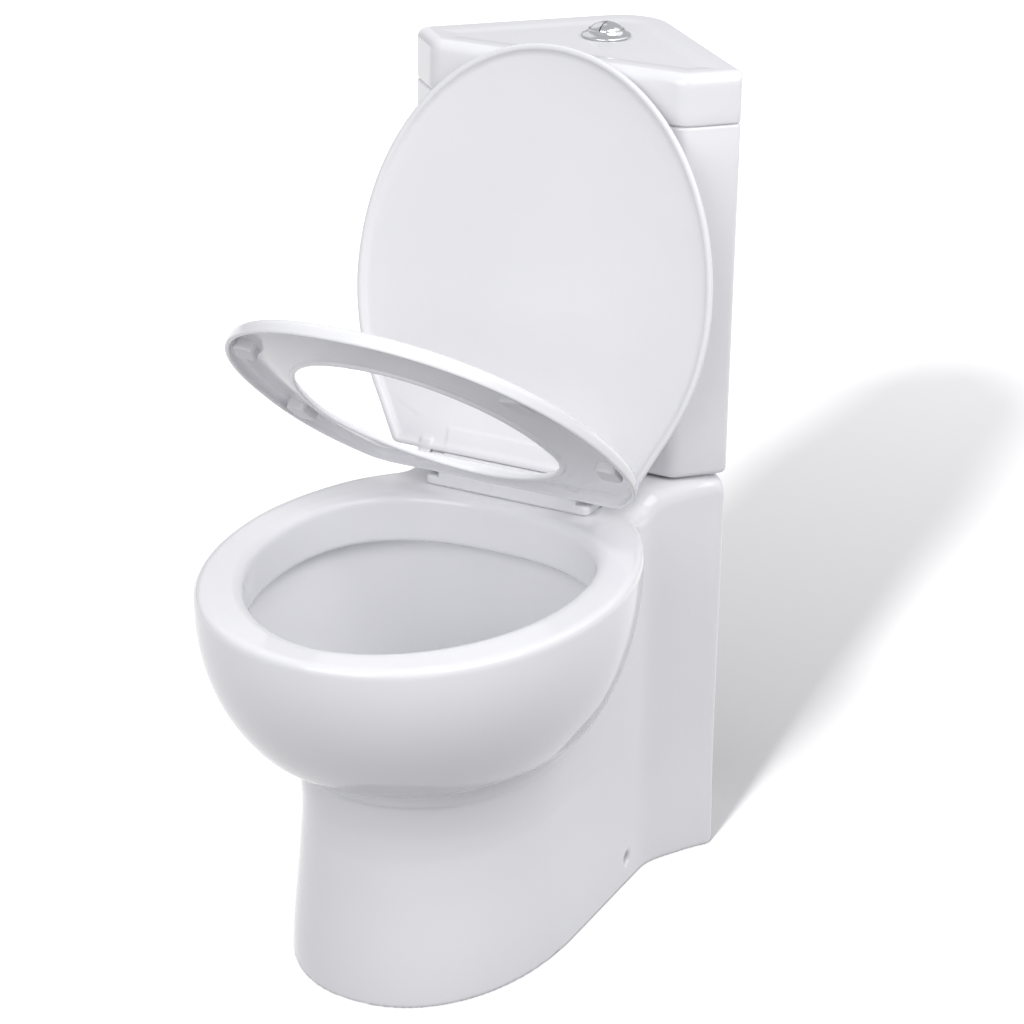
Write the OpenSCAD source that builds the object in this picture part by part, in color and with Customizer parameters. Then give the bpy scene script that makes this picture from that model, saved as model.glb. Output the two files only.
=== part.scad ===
// Corner toilet: close-coupled pan and five-sided cistern for a room corner.
// Origin: the point on the floor where the two walls meet. The walls run off at 45 degrees to
// each side, the front of the pan points along -Y, and +Z is up. All sizes are in millimetres.

/* [Wall wings and cistern plan] */
// Length of the pan's wings along each wall
pan_wing = 238.5; // [225:0.5:250]
// Length of the cistern along each wall
tank_wing = 238.5; // [230:0.5:245]
// Length of the cistern lid along each wall
lid_wing = 240; // [234:0.5:246]
// Distance from the wall corner to the cistern's front face
tank_front = 208; // [200:1:215]
// Rounding of the upright edges
edge_round = 12; // [6:1:16]
// Rounding of the corner that faces the wall corner
apex_round = 18; // [10:1:24]

/* [Pan] */
// Height of the rim above the floor
rim_z = 385; // [375:1:400]
// Height of the deck under the cistern above the rim
deck_rise = 11; // [6:1:16]
// Width of the bowl at the rim
bowl_w = 378; // [360:1:390]
// Distance from the wall corner to the front of the rim
bowl_front = 693; // [680:1:710]
// Distance from the wall corner to the widest place of the rim
bowl_mid = 455; // [440:1:470]
// Length of the rim's rear half
bowl_rear = 247; // [235:1:255]
// Depth of the outer dome below its widest level
dome_depth = 222; // [210:1:232]
// Distance from the wall corner to the lowest point of the dome
dome_pole = 382; // [370:1:395]
// Rounding of the rim's outer edge
rim_round = 13; // [6:1:16]
// Width of the rim opening
opening_w = 298; // [286:1:306]
// Distance from the wall corner to the front of the rim opening
opening_front = 655; // [645:1:660]
// Distance from the wall corner to the widest place of the opening
opening_mid = 462; // [455:1:470]
// Distance from the wall corner to the rear of the opening
opening_back = 319; // [316:1:324]
// Height of the curtain that hangs inside the rim
curtain_h = 48; // [40:1:54]
// Thickness of the curtain
curtain_t = 10; // [8:1:12]
// Width of the flush channel between the curtain and the outer wall
channel_w = 15; // [12:1:17]
// Width of the pedestal at the floor
foot_w = 251; // [244:1:258]
// Distance from the wall corner to the front of the pedestal
foot_front = 591; // [580:1:600]
// Length of the pedestal's rounded nose
foot_nose = 189; // [175:1:200]
// How far the pedestal draws in above the floor
foot_draw = 7; // [3:1:10]
// Thickness of the ceramic walls
wall = 12; // [10:1:14]
// Radius of the outlet spigot
spigot_r = 51; // [50:0.5:52]
// Radius of the waterway through the trap
trap_r = 39; // [36:1:42]
// Height of the outlet's centre above the floor
outlet_z = 180; // [175:1:190]
// Distance from the wall corner to the end of the outlet spigot
outlet_y = 118; // [112:1:130]
// Radius of the side fixing holes
fixing_r = 6; // [4:0.5:7]
// Height of the side fixing holes
fixing_z = 26; // [20:1:40]
// Distance from the wall corner to the side fixing holes
fixing_y = 282; // [270:1:300]

/* [Cistern] */
// Height of the cistern without its lid
tank_h = 342; // [320:1:365]
// Height of the lid above the cistern
lid_h = 46; // [36:1:56]
// Gap between the pan's deck and the cistern
tank_gap = 2; // [1:0.5:3]
// Thickness of the cistern walls
tank_wall = 10; // [8:1:12]
// Thickness of the cistern floor
tank_floor = 14; // [12:1:16]
// Rounding of the lid's top edge
lid_round = 11; // [6:1:14]
// Depth of the dish in the lid
lid_dish = 3; // [2:0.5:5]

/* [Flush and fill valves] */
// Distance from the wall corner to the flush valve
flush_y = 105; // [100:1:112]
// Radius of the flush valve's threaded tail
tail_r = 29.8; // [28:0.1:31]
// Radius of the doughnut gasket
gasket_r = 51; // [48:1:54]
// Radius of the flush valve's tower
tower_r = 38; // [34:1:42]
// Distance of the close-coupling bolts from the middle
bolt_x = 62; // [60:1:66]
// Distance from the wall corner to the bolts
bolt_y = 175; // [172:1:178]
// Radius of the close-coupling bolts
bolt_r = 4; // [3:0.5:4.5]
// Distance of the fill valve from the middle
fill_x = 98; // [96:1:100]
// Distance from the wall corner to the fill valve
fill_y = 158; // [156:1:160]
// Radius of the fill valve's threaded tail
fill_tail_r = 10.4; // [9:0.1:11]
// Radius of the fill valve's column
column_r = 13; // [11:0.5:14]
// Travel of the flush valve's seal
seal_lift = 22; // [15:1:26]
// Travel of the float from full to empty
float_drop = 9; // [5:1:12]

/* [Push button] */
// Radius of the bezel
bezel_r = 23; // [20:0.5:25]
// Radius of the two buttons together
button_r = 15.5; // [13:0.5:16.5]
// Travel of the buttons
button_travel = 5; // [3:0.5:6]
// Gap between the two buttons
button_split = 1; // [0.6:0.1:1.6]

/* [Seat and cover] */
// Distance from the wall corner to the hinge axis
hinge_y = 290; // [286:1:294]
// Height of the hinge axis above the rim
hinge_rise = 20; // [19:0.5:21]
// Width of the seat
seat_w = 355.5; // [340:0.5:360]
// Distance from the wall corner to the front of the closed seat
seat_front = 693; // [688:1:700]
// Distance from the wall corner to the widest place of seat and cover
seat_mid = 466; // [458:1:476]
// Distance from the wall corner to the seat's rear edge
seat_back = 315; // [312:1:320]
// Height of the buffers, which hold the seat off the rim
buffer_h = 4; // [3.5:0.5:6]
// Thickness of the seat at its outer edge
seat_edge = 14; // [12:0.5:15]
// How far the seat's top sinks towards its hole
seat_dish = 11; // [8:0.5:12]
// Width of the hole in the seat
hole_w = 235.5; // [225:0.5:240]
// Distance from the wall corner to the front of the seat's hole
hole_front = 628; // [618:1:632]
// Distance from the wall corner to the rear of the seat's hole
hole_back = 356; // [350:1:364]
// Width of the cover
cover_w = 364; // [358:1:372]
// Distance from the wall corner to the front of the closed cover
cover_front = 694; // [688:1:702]
// Distance from the wall corner to the cover's rear edge
cover_back = 305; // [303:1:308]
// Height of the cover's outer edge
cover_edge = 7; // [6:0.5:9]
// Height of the cover's dome above its outer edge
cover_dome = 8; // [6:1:10]
// Thickness of the cover
cover_skin = 4; // [3:0.5:5]
// Angle at which the seat is shown, up from closed
seat_angle = 38.4; // [30:0.1:45]
// Gap between the raised cover and the front of the cistern lid
lean_gap = 1.5; // [0.5:0.5:4]
// Radius of the hinge pins
pin_r = 4; // [3:0.5:4.5]
// Half the spacing of the seat's fixing studs
stud_x = 77.5; // [70:0.5:78]

/* [Hidden] */
$fn = 48;
half = sqrt(0.5);
deck_z = rim_z + deck_rise;
tank_z = deck_z + tank_gap;
seam_z = tank_z + tank_h;
lid_z = seam_z + lid_h;
hinge_z = rim_z + hinge_rise;
fit = 0.3;            // rest gap between pieces of different bodies
running = 0.05;       // radial gap of a turning pin
big = 1000;           // a field value for far outside

// ---------------------------------------------------------------- colours
ceramic = [0.91, 0.91, 0.93];
seat_white = [0.93, 0.93, 0.94];
chrome = [0.75, 0.76, 0.78];
brass = [0.78, 0.64, 0.36];
zinc = [0.66, 0.67, 0.69];
rubber_black = [0.12, 0.12, 0.13];
plastic_white = [0.88, 0.88, 0.86];
plastic_blue = [0.25, 0.45, 0.72];
plastic_grey = [0.62, 0.64, 0.66];

// ---------------------------------------------------------------- helper functions
// Smallest and largest of two values, blended over a width k
function soft_min(a, b, k) = let (h = max(k - abs(a - b), 0) / k) min(a, b) - h * h * k / 4;
function soft_max(a, b, k) = -soft_min(-a, -b, k);
// A step from 0 to 1 between two values
function ease(a, b, t) = let (u = min(1, max(0, (t - a) / (b - a)))) u * u * (3 - 2 * u);
function mix(a, b, t) = a + (b - a) * t;
// Signed distance along the ray from the middle of an oval with half axes a and b
function oval_field(x, y, a, b, power) = let (
        s = pow(pow(abs(x) / a, power) + pow(abs(y) / b, power), 1 / power))
    s < 0.01 ? -a : norm([x, y]) * (1 - 1 / s);

// Rounded corner between three points, as an arc of steps + 1 points
function corner(p, q, r, radius, steps) = let (
        a = (p - q) / norm(p - q), b = (r - q) / norm(r - q),
        half_angle = acos(min(1, max(-1, a * b))) / 2,
        mid = (a + b) / norm(a + b), centre = q + mid * radius / sin(half_angle),
        from = q + a * radius / tan(half_angle) - centre, to = q + b * radius / tan(half_angle) - centre)
    [for (i = [0:steps]) let (v = mix(from, to, i / steps)) centre + v * radius / norm(v)];

// Plan of the cistern, the lid and what lies inside them: five sides, anticlockwise from the front
function five_sides(wing, front, back_gap) = let (w = wing / half, g = back_gap / half) [
    [-(w - front), -front], [w - front, -front], [(w - g) / 2, -(w + g) / 2], [0, -g],
    [-(w - g) / 2, -(w + g) / 2]];

function five_round(wing, front, back_gap, radius, steps = 5) = let (
        c = five_sides(wing, front, back_gap), radii = [1, 1, 0.5, apex_round / edge_round, 0.5] * radius)
    [for (i = [0:4]) each corner(c[(i + 4) % 5], c[i], c[(i + 1) % 5], radii[i], steps)];

// A closed solid through rings of points, which run anticlockwise and upwards
module loft(rings, low, high) {
    n = len(rings[0]);
    m = len(rings);
    low_tip = n * m;
    high_tip = low_tip + 1;
    sides = [for (k = [0:m - 2], i = [0:n - 1]) let (j = (i + 1) % n, a = k * n, b = a + n)
        each [[a + i, b + i, b + j], [a + i, b + j, a + j]]];
    caps = [for (i = [0:n - 1]) let (j = (i + 1) % n)
        each [[low_tip, i, j], [high_tip, (m - 1) * n + j, (m - 1) * n + i]]];
    polyhedron(points = concat([for (ring = rings) each ring], [low, high]), faces = concat(sides, caps));
}

module both_sides() {
    children();
    mirror([1, 0, 0]) children();
}

module along_x(x, y, z) {
    translate([x, y, z]) rotate([0, 90, 0]) children();
}

// Turns a closed seat or cover up about the hinge axis
module raised(angle) {
    translate([0, -hinge_y, hinge_z]) rotate([-angle, 0, 0]) translate([0, hinge_y, -hinge_z]) children();
}

// ---------------------------------------------------------------- pan: outer skin
core = [0, -190];           // every level of the pan is seen whole from here
wing_flare = 4;             // the wings spread by this much at the floor
equator = rim_z - rim_round;
under_z = equator - dome_depth; // top of the open space inside the pedestal
foot_back = foot_front - foot_nose;
waist_z = 144;              // the pedestal is drawn in up to here
wing_blend = 34;
crease_blend = 5;

function draw_in(y, z) = foot_draw * pow(min(1, z / waist_z), 1.6)
    * (1 - ease(-foot_back - 20, -bowl_rear, y));

function wing_field(x, y, z) = let (
        k = edge_round, right = (x + y) * half, left = (y - x) * half,
        back = soft_max(right, left, apex_round), facet = (abs(x) - y) * half - pan_wing
            - wing_flare * (1 - ease(0, waist_z, z)))
    soft_max(soft_max(back, facet, k), -tank_front - y, k);

function foot_field(x, y, z) = let (
        d = draw_in(y, z), nose = min(0, y + foot_back))
    max(oval_field(x, nose, foot_w / 2 - d, foot_nose - d, 2.15), y - core[1] - 20);

function dome_scale(z) = z >= equator ? 1 : z <= equator - dome_depth ? 0
    : pow(1 - pow((equator - z) / dome_depth, 2.05), 1 / 2.05);

function dome_field(x, y, z) = let (
        k = dome_scale(z), mid = -mix(dome_pole, bowl_mid, k),
        reach = y < mid ? bowl_front - bowl_mid : bowl_rear)
    k < 0.02 ? big : oval_field(x, y - mid, bowl_w / 2 * k, reach * k, 2);

function pan_field(x, y, z) = soft_min(
    soft_min(wing_field(x, y, z), foot_field(x, y, z), wing_blend), dome_field(x, y, z), crease_blend);

// Distance from the core at which the pan's field has a value, found by halving
function found(u, z, value, low, high, turns) = turns == 0 ? (low + high) / 2
    : let (mid = (low + high) / 2, p = core + u * mid)
        pan_field(p[0], p[1], z) > value ? found(u, z, value, low, mid, turns - 1)
            : found(u, z, value, mid, high, turns - 1);

function pan_point(angle, z, inset) = let (u = [cos(angle), sin(angle)])
    core + u * found(u, z, -inset, 0, bowl_front, 17);

front_rays = [for (a = [-90:3:-42]) a];
side_rays = [for (a = [-39:2.6:13]) a];
wall_rays = [22, 42, 62, 78, 86, 90];
right_rays = concat(front_rays, side_rays, wall_rays);
rays = concat(right_rays, [for (i = [len(right_rays) - 2:-1:1]) 180 - right_rays[i]]);

// The top edge: level with the rim in front of the hinge, rising to the deck behind it
bar_front = hinge_y + 11;
bar_back = hinge_y - 30;
ramp_front = bar_back - 1;
ramp_back = tank_front + 20;
function top_z(y) = rim_z + deck_rise * ease(-ramp_front, -ramp_back, y);

// One point of the pan's top edge: drop is the depth below the edge's own height
function edge_point(angle, drop) = let (
        side = pan_point(angle, equator, 0),
        inset = rim_round - sqrt(pow(rim_round, 2) - pow(rim_round - drop, 2)),
        p = pan_point(angle, equator, inset))
    [p[0], p[1], top_z(side[1]) - drop];

module pan_skin() {
    levels = concat([0, 40, 80, 115, 145], [for (z = [160:10:260]) z], [for (z = [280:20:340]) z]);
    rings = [for (z = levels) [for (a = rays) let (p = pan_point(a, z, 0)) [p[0], p[1], z]]];
    edge = [for (drop = rim_round * [1, 0.6, 0.3, 0.08, 0.01]) [for (a = rays) edge_point(a, drop)]];
    last = edge[len(edge) - 1];
    top = [for (p = last) [p[0], p[1], deck_z]];
    difference() {
        loft(concat(rings, edge, [top]), [core[0], core[1], 0], [core[0], core[1], deck_z]);
        rim_cut();
    }
}

// Takes the rim and the hinge shelf down from the deck's height
module rim_cut() {
    steps = 8;
    ramp = [for (i = [0:steps]) let (y = mix(-ramp_front, -ramp_back, i / steps)) [y, top_z(y)]];
    front = -bowl_front - 50;
    outline = concat([[front, rim_z]], ramp, [[-ramp_back, deck_z + 50], [front, deck_z + 50]]);
    translate([-bowl_w, 0, 0]) rotate([90, 0, 90]) linear_extrude(2 * bowl_w) polygon(outline);
}

// ---------------------------------------------------------------- pan: basin and waterways
sump = [0, -345];
sump_r = 42;
sump_z = under_z - 58;
basin_z = rim_z - curtain_h - 10;
rim_wall = curtain_t + channel_w;
channel_z = rim_z - 17;     // top of the flush channel

function opening_point(angle, grow) = let (
        a = opening_w / 2 + grow, front = sin(angle) < 0,
        b = (front ? opening_front - opening_mid : opening_mid - opening_back) + grow,
        power = front ? 1.9 : 2.5,
        s = pow(pow(abs(cos(angle)) / a, power) + pow(abs(sin(angle)) / b, power), -1 / power))
    [cos(angle) * s, sin(angle) * s - opening_mid];

function opening_ring(grow, z) = [for (a = [0:7.5:352.5]) let (p = opening_point(a, grow)) [p[0], p[1], z]];

function basin_ring(part, z) = [for (a = [0:7.5:352.5]) let (
        p = mix(sump + sump_r * [cos(a), sin(a)], opening_point(a, rim_wall), part)) [p[0], p[1], z]];

module basin_hollow() {
    curtain_z = rim_z - curtain_h;
    cone = [for (t = [0:0.2:1]) basin_ring(pow(t, 0.92), mix(sump_z, basin_z, t))];
    bowl_end = [for (t = [0.35, 0.75]) let (k = 1 - sqrt(1 - pow(1 - t, 2))) [for (p = cone[0])
        [mix(p[0], sump[0], k), mix(p[1], sump[1], k), sump_z - sump_r * 0.9 * (1 - t)]]];
    rings = concat(bowl_end, cone, [
        opening_ring(rim_wall, channel_z - 13), opening_ring(rim_wall - 4, channel_z),
        opening_ring(curtain_t + 3, channel_z), opening_ring(curtain_t, channel_z - 7),
        opening_ring(curtain_t, curtain_z + 4), opening_ring(curtain_t / 2, curtain_z),
        opening_ring(0, curtain_z + 4), opening_ring(-2, rim_z - 12), opening_ring(0, rim_z - 4),
        opening_ring(5, rim_z), opening_ring(5, rim_z + 20)]);
    loft(rings, [sump[0], sump[1], sump_z - sump_r * 0.9], [0, -opening_mid, rim_z + 20]);
}

crown = [0, -232, outlet_z + 36]; // highest point of the trap's waterway
spigot_l = 60;
bend_bulge = 4;             // the pipe is this much thicker at its bends
trap_start = [0, sump[1], sump_z];
outlet = [0, -outlet_y - spigot_l, outlet_z];

// A round pipe from the sump over the trap's crown, with ball joints at its bends
module trap_run(radius, bulge) {
    stops = [trap_start, crown, outlet];
    for (i = [0:1]) {
        run = stops[i + 1] - stops[i];
        translate(stops[i]) rotate([-atan2(run[1], run[2]), 0, 0]) cylinder(r = radius, h = norm(run));
        translate(stops[i + 1]) sphere(r = radius + bulge);
    }
    translate(outlet) rotate([-90, 0, 0]) cylinder(r = radius, h = spigot_l);
}

hollow_front = tank_front + 47;

// The open space under the pan, as plain prisms
module pan_hollows() {
    few = [for (i = [0:3:len(rays) - 1]) rays[i]];
    plan = [for (a = few) pan_point(a, waist_z, wall)];
    translate([0, 0, -1]) linear_extrude(under_z + 1) polygon(plan);
    intersection() {
        translate([0, 0, -1]) linear_extrude(deck_z - wall + 1) polygon(plan);
        translate([-bowl_w / 2, -hollow_front, -1]) cube([bowl_w, hollow_front, deck_z]);
    }
}

back_w = 190;               // width of the opening in the back of the pan
duct_w = 60;
duct_h = 26;
duct_z = channel_z - duct_h;
duct_front = opening_back - curtain_t - 3; // the duct ends in the flush channel
inlet_r = 34;
gasket_seat = 14;           // depth of the gasket's seat in the deck
sump_foot = sump_z - 72;    // underside of the sump's body
fixing_lean = 2;            // the fixing holes stand square to the foot's draught

// The whole casting, which the nodes pan and pan_foot share out
module casting() {
    difference() {
        union() {
            difference() {
                pan_skin();
                pan_hollows();
                translate([-back_w / 2, -back_w / 2 - 30, -1]) cube([back_w, back_w, duct_z - wall + 1]);
            }
            translate([0, -flush_y, duct_z - wall])
                cylinder(r = gasket_r + wall, h = deck_z - duct_z + wall - 1);
            translate([-duct_w / 2 - wall, -hollow_front - 2, duct_z - wall])
                cube([duct_w + 2 * wall, hollow_front + 2 - flush_y, duct_h + 2 * wall]);
            translate([0, sump[1] - 27, sump_foot])
                cylinder(r1 = sump_r + 32, r2 = sump_r + 57, h = under_z + 2 - sump_foot);
            trap_run(spigot_r, bend_bulge);
        }
        basin_hollow();
        trap_run(trap_r, bend_bulge / 2);
        translate([0, -outlet_y, outlet_z]) rotate([-90, 0, 0]) cylinder(r = trap_r, h = wall);
        translate([0, -flush_y, duct_z]) cylinder(r = inlet_r, h = deck_z);
        translate([0, -flush_y, deck_z - gasket_seat]) cylinder(r = gasket_r + 1, h = gasket_seat + 1);
        translate([-duct_w / 2, -duct_front, duct_z]) cube([duct_w, duct_front - flush_y, duct_h]);
        both_sides() {
            translate([bolt_x, -bolt_y, deck_z - 2 * wall]) cylinder(r = bolt_r + 1.5, h = 3 * wall);
            translate([stud_x, -stud_y, rim_z - 2 * wall]) cylinder(r = stud_r + 2, h = 3 * wall);
            translate([stud_x, -stud_y, rim_z - pocket_h]) cylinder(r = pocket_r, h = pocket_h - stud_slab);
            translate([stud_x - pocket_r, -stud_y, rim_z - pocket_h])
                cube([2 * pocket_r, stud_y - hollow_front + 1, pocket_h - stud_slab]);
            translate([foot_w / 2 - wall / 2, -fixing_y, fixing_z]) rotate([0, 90 - fixing_lean, 0])
                cylinder(r = fixing_r, h = 3 * wall, center = true);
        }
        translate([fill_x, -fill_y, deck_z - 2 * wall]) cylinder(r = 20, h = 3 * wall);
    }
}

foot_ring_h = 50;           // height of the pedestal's lowest ring, which holds the fixing holes

// Where the pedestal's lowest ring lies: all that is low, apart from the sump in the middle
module foot_zone() {
    difference() {
        translate([-bowl_w, -bowl_front, -1]) cube([2 * bowl_w, bowl_front + 1, foot_ring_h + 1]);
        translate([0, sump[1] - 27, -2]) cylinder(r = sump_r + 46, h = foot_ring_h + 3);
    }
}

module pan() {
    color(ceramic) difference() {
        casting();
        foot_zone();
    }
}

module pan_foot() {
    color(ceramic) intersection() {
        casting();
        foot_zone();
    }
}

// ---------------------------------------------------------------- cistern and lid
function inset_ring(wing, front, gap, inset, radius, z) = [
    for (p = five_round(wing - inset, front - inset, gap + inset, max(3, radius - inset))) [p[0], p[1], z]];

shank_r = fill_tail_r + 0.6; // the fill valve's thread where its nut clamps the cistern

module cistern() {
    inner = five_round(tank_wing - tank_wall, tank_front - tank_wall, tank_wall, edge_round - 4);
    foot = 5;
    color(ceramic) difference() {
        loft([inset_ring(tank_wing, tank_front, 0, foot, edge_round, tank_z),
            inset_ring(tank_wing, tank_front, 0, foot * 0.3, edge_round, tank_z + foot * 0.3),
            inset_ring(tank_wing, tank_front, 0, 0, edge_round, tank_z + foot),
            inset_ring(tank_wing, tank_front, 0, 0, edge_round, seam_z - 3),
            inset_ring(tank_wing, tank_front, 0, 2, edge_round, seam_z)],
            [0, -flush_y, tank_z], [0, -flush_y, seam_z]);
        translate([0, 0, tank_z + tank_floor]) linear_extrude(seam_z - tank_z) polygon(inner);
        translate([0, -flush_y, tank_z - 1]) cylinder(r = tail_r + 1.2, h = tank_floor + 2);
        both_sides() translate([bolt_x, -bolt_y, tank_z - 1]) cylinder(r = bolt_r + 1.5, h = tank_floor + 2);
        translate([fill_x, -fill_y, tank_z - 1]) cylinder(r = shank_r + 1, h = tank_floor + 2);
    }
}

lid_lip = 8;                // depth of the rib that drops into the cistern
lid_top_t = 10;
lid_hole_r = button_r + 4.5;
lid_front = tank_front + 1;
bezel_z = lid_z - lid_dish;
dish_edge = 17;             // width of the raised border round the lid's dish

module cistern_lid() {
    rib = five_round(tank_wing - tank_wall - 1, tank_front - tank_wall - 1, tank_wall + 1, edge_round - 5);
    rib_in = five_round(tank_wing - tank_wall - 6, tank_front - tank_wall - 6, tank_wall + 6, edge_round - 6);
    color(ceramic) difference() {
        union() {
            loft(concat([inset_ring(lid_wing, lid_front, 0, 2.5, edge_round, seam_z),
                    inset_ring(lid_wing, lid_front, 0, 0, edge_round, seam_z + 2.5)],
                [for (a = [0:22.5:90])
                    inset_ring(lid_wing, lid_front, 0, lid_round * (1 - cos(a)), edge_round,
                        lid_z - lid_round * (1 - sin(a)))],
                [inset_ring(lid_wing, lid_front, 0, dish_edge, edge_round, lid_z),
                    inset_ring(lid_wing, lid_front, 0, dish_edge + 9, edge_round, lid_z - lid_dish * 0.35),
                    inset_ring(lid_wing, lid_front, 0, dish_edge + 24, edge_round, bezel_z),
                    [for (i = [0:29]) let (a = 220 + 12 * i, r = bezel_r + 4)
                        [r * cos(a), r * sin(a) - flush_y, bezel_z]]]),
                [0, -flush_y, seam_z], [0, -flush_y, bezel_z]);
            translate([0, 0, seam_z - lid_lip]) linear_extrude(2 * lid_lip) polygon(rib);
        }
        translate([0, 0, seam_z - lid_lip - 1]) linear_extrude(lid_lip + 3) polygon(rib_in);
        translate([0, 0, seam_z + 1]) linear_extrude(bezel_z - lid_top_t - seam_z - 1) polygon(rib_in);
        translate([0, -flush_y, seam_z]) cylinder(r = lid_hole_r, h = lid_z);
    }
}

// ---------------------------------------------------------------- push button
bezel_h = 7;
thread_r = lid_hole_r - 1.5;
thread_h = lid_top_t + 16;  // length of the bezel's threaded sleeve
button_z = bezel_z + bezel_h - 2;
button_low = button_z - 4;  // underside of the buttons
cup_z = button_low - button_travel - fit;
spring_z = cup_z - 8.5;     // the springs stand here
spring_r = 4.2;
wire_r = 0.6;
rod_x = 8.5;
rod_r = 2.5;

module button_bezel() {
    color(chrome) translate([0, -flush_y, 0]) difference() {
        union() {
            translate([0, 0, bezel_z]) rotate_extrude() polygon([[0, 0], [bezel_r, 0], [bezel_r, 1.2],
                [bezel_r - 1.2, 2.6], [bezel_r - 3.4, 4.4], [bezel_r - 4.6, bezel_h - 0.6],
                [bezel_r - 5.4, bezel_h], [0, bezel_h]]);
            translate([0, 0, bezel_z - thread_h]) cylinder(r = thread_r, h = thread_h + 1);
        }
        translate([0, 0, cup_z]) cylinder(r = button_r + 0.4, h = 30);
        translate([0, 0, spring_z - 24]) cylinder(r = thread_r - 3, h = 20);
        for (side = [-1, 1]) translate([side * rod_x, 0, 0]) {
            translate([0, 0, spring_z]) cylinder(r = spring_r + 1.4, h = 40);
            translate([0, 0, spring_z - 5]) cylinder(r = rod_r + 0.7, h = 40);
        }
    }
}

module button_back_nut() {
    color(plastic_white) translate([0, -flush_y, bezel_z - lid_top_t - 9]) difference() {
        cylinder(r = thread_r + 9, h = 9, $fn = 6);
        translate([0, 0, -1]) cylinder(r = thread_r + 0.1, h = 11);
    }
}

// Half of the split dome, on the side given by -1 or 1
module dome_half(side) {
    w = button_r + 1;
    translate([0, -flush_y, 0]) intersection() {
        translate([0, 0, button_low]) rotate_extrude() polygon([[0, 0], [button_r, 0], [button_r, 5.2],
            [button_r - 0.7, 6.6], [button_r - 2.4, 8.4], [button_r - 5.6, 9.9],
            [button_r - 9.5, 10.6], [0, 10.9]]);
        translate([side * (w + button_split) / 2 - w / 2, -w, button_low - 1]) cube([w, 2 * w, 20]);
    }
}

module half_flush_button() {
    color(chrome) dome_half(-1);
}

module full_flush_button() {
    color(chrome) dome_half(1);
}

tower_top = seam_z - 42;
rod_foot_z = tower_top + 14; // where the rods end above the tower

module push_rod(side) {
    translate([side * rod_x, -flush_y, rod_foot_z]) {
        cylinder(r = rod_r, h = button_low - rod_foot_z);
        cylinder(r = 2 * rod_r, h = 3);
    }
}

module half_flush_rod() {
    color(plastic_white) push_rod(-1);
}

module full_flush_rod() {
    color(plastic_white) push_rod(1);
}

// A coil spring between the bezel's pocket and the button's underside
module push_spring(side) {
    turns = 5;
    low = spring_z + wire_r;
    rise = button_low - wire_r - low;
    coil = [for (i = [0:12 * turns]) [for (b = [0:60:300]) let (r = spring_r + wire_r * cos(b), a = -30 * i)
        [r * cos(a), r * sin(a), low + rise * i / (12 * turns) + wire_r * sin(b)]]];
    last = coil[len(coil) - 1];
    translate([side * rod_x, -flush_y, 0]) loft(coil, (coil[0][0] + coil[0][3]) / 2, (last[0] + last[3]) / 2);
}

module half_flush_spring() {
    color(zinc) push_spring(-1);
}

module full_flush_spring() {
    color(zinc) push_spring(1);
}

// ---------------------------------------------------------------- flush valve
in_floor = tank_z + tank_floor;
tail_h = 24;                // length of the tail below the cistern
seal_z = in_floor + 20;
tube_r = 12;
tube_top = rod_foot_z - button_travel - seal_lift - 2; // the raised tube stays under the pressed rods

module flush_valve_washer() {
    color(rubber_black) translate([0, -flush_y, in_floor]) difference() {
        cylinder(r = tail_r + 10, h = 3);
        translate([0, 0, -1]) cylinder(r = tail_r + 0.2, h = 5);
    }
}

module flush_valve_base() {
    color(plastic_white) translate([0, -flush_y, 0]) difference() {
        union() {
            translate([0, 0, tank_z - tail_h]) cylinder(r = tail_r, h = tail_h + tank_floor + 4);
            translate([0, 0, in_floor + 3]) cylinder(r = tail_r + 9, h = 5);
            translate([0, 0, in_floor + 3]) cylinder(r = tail_r + 2, h = seal_z - in_floor - 3);
        }
        translate([0, 0, tank_z - tail_h - 1]) cylinder(r = tail_r - 4, h = deck_z);
    }
}

module flush_valve_back_nut() {
    color(plastic_white) translate([0, -flush_y, tank_z - 11]) difference() {
        cylinder(r = tail_r + 8.5, h = 11, $fn = 8);
        translate([0, 0, -1]) cylinder(r = tail_r + 0.1, h = 13);
    }
}

// Open tower that stands on the base: a foot ring, four legs and a guide head
module flush_valve_tower() {
    color(plastic_blue) translate([0, -flush_y, 0]) {
        difference() {
            union() {
                translate([0, 0, in_floor + 8]) cylinder(r = tower_r, h = 8);
                translate([0, 0, tower_top - 60]) cylinder(r = tower_r - 6, h = 60);
                for (a = [45:90:315]) rotate([0, 0, a]) translate([tail_r + 3.2, -5, in_floor + 8])
                    cube([tower_r - tail_r - 3.2, 10, tower_top - in_floor - 40]);
                for (a = [45:90:315]) rotate([0, 0, a]) translate([tower_r - 12, -5, tower_top - 60])
                    cube([11, 10, 28]);
            }
            translate([0, 0, in_floor + 7]) cylinder(r = tail_r + 2.4, h = 12);
            translate([0, 0, tower_top - 61]) cylinder(r = tube_r + 0.4, h = 62);
            translate([0, 0, tower_top - 56]) difference() {
                cylinder(r = tower_r - 9, h = 46);
                translate([0, 0, -1]) cylinder(r = tube_r + 3, h = 48);
            }
        }
    }
}

module flush_seal() {
    color(rubber_black) translate([0, -flush_y, seal_z + fit]) difference() {
        cylinder(r = tail_r, h = 4);
        translate([0, 0, -1]) cylinder(r = tube_r - 2, h = 6);
    }
}

// The overflow tube carries the seal's disc and lifts with it
module overflow_tube() {
    color(plastic_grey) translate([0, -flush_y, 0]) difference() {
        union() {
            translate([0, 0, seal_z + fit + 4]) cylinder(r = tail_r - 3, h = 3);
            translate([0, 0, seal_z + fit + 4]) cylinder(r = tube_r, h = tube_top - seal_z - fit - 4);
        }
        translate([0, 0, seal_z]) cylinder(r = tube_r - 2, h = tube_top);
    }
}

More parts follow.
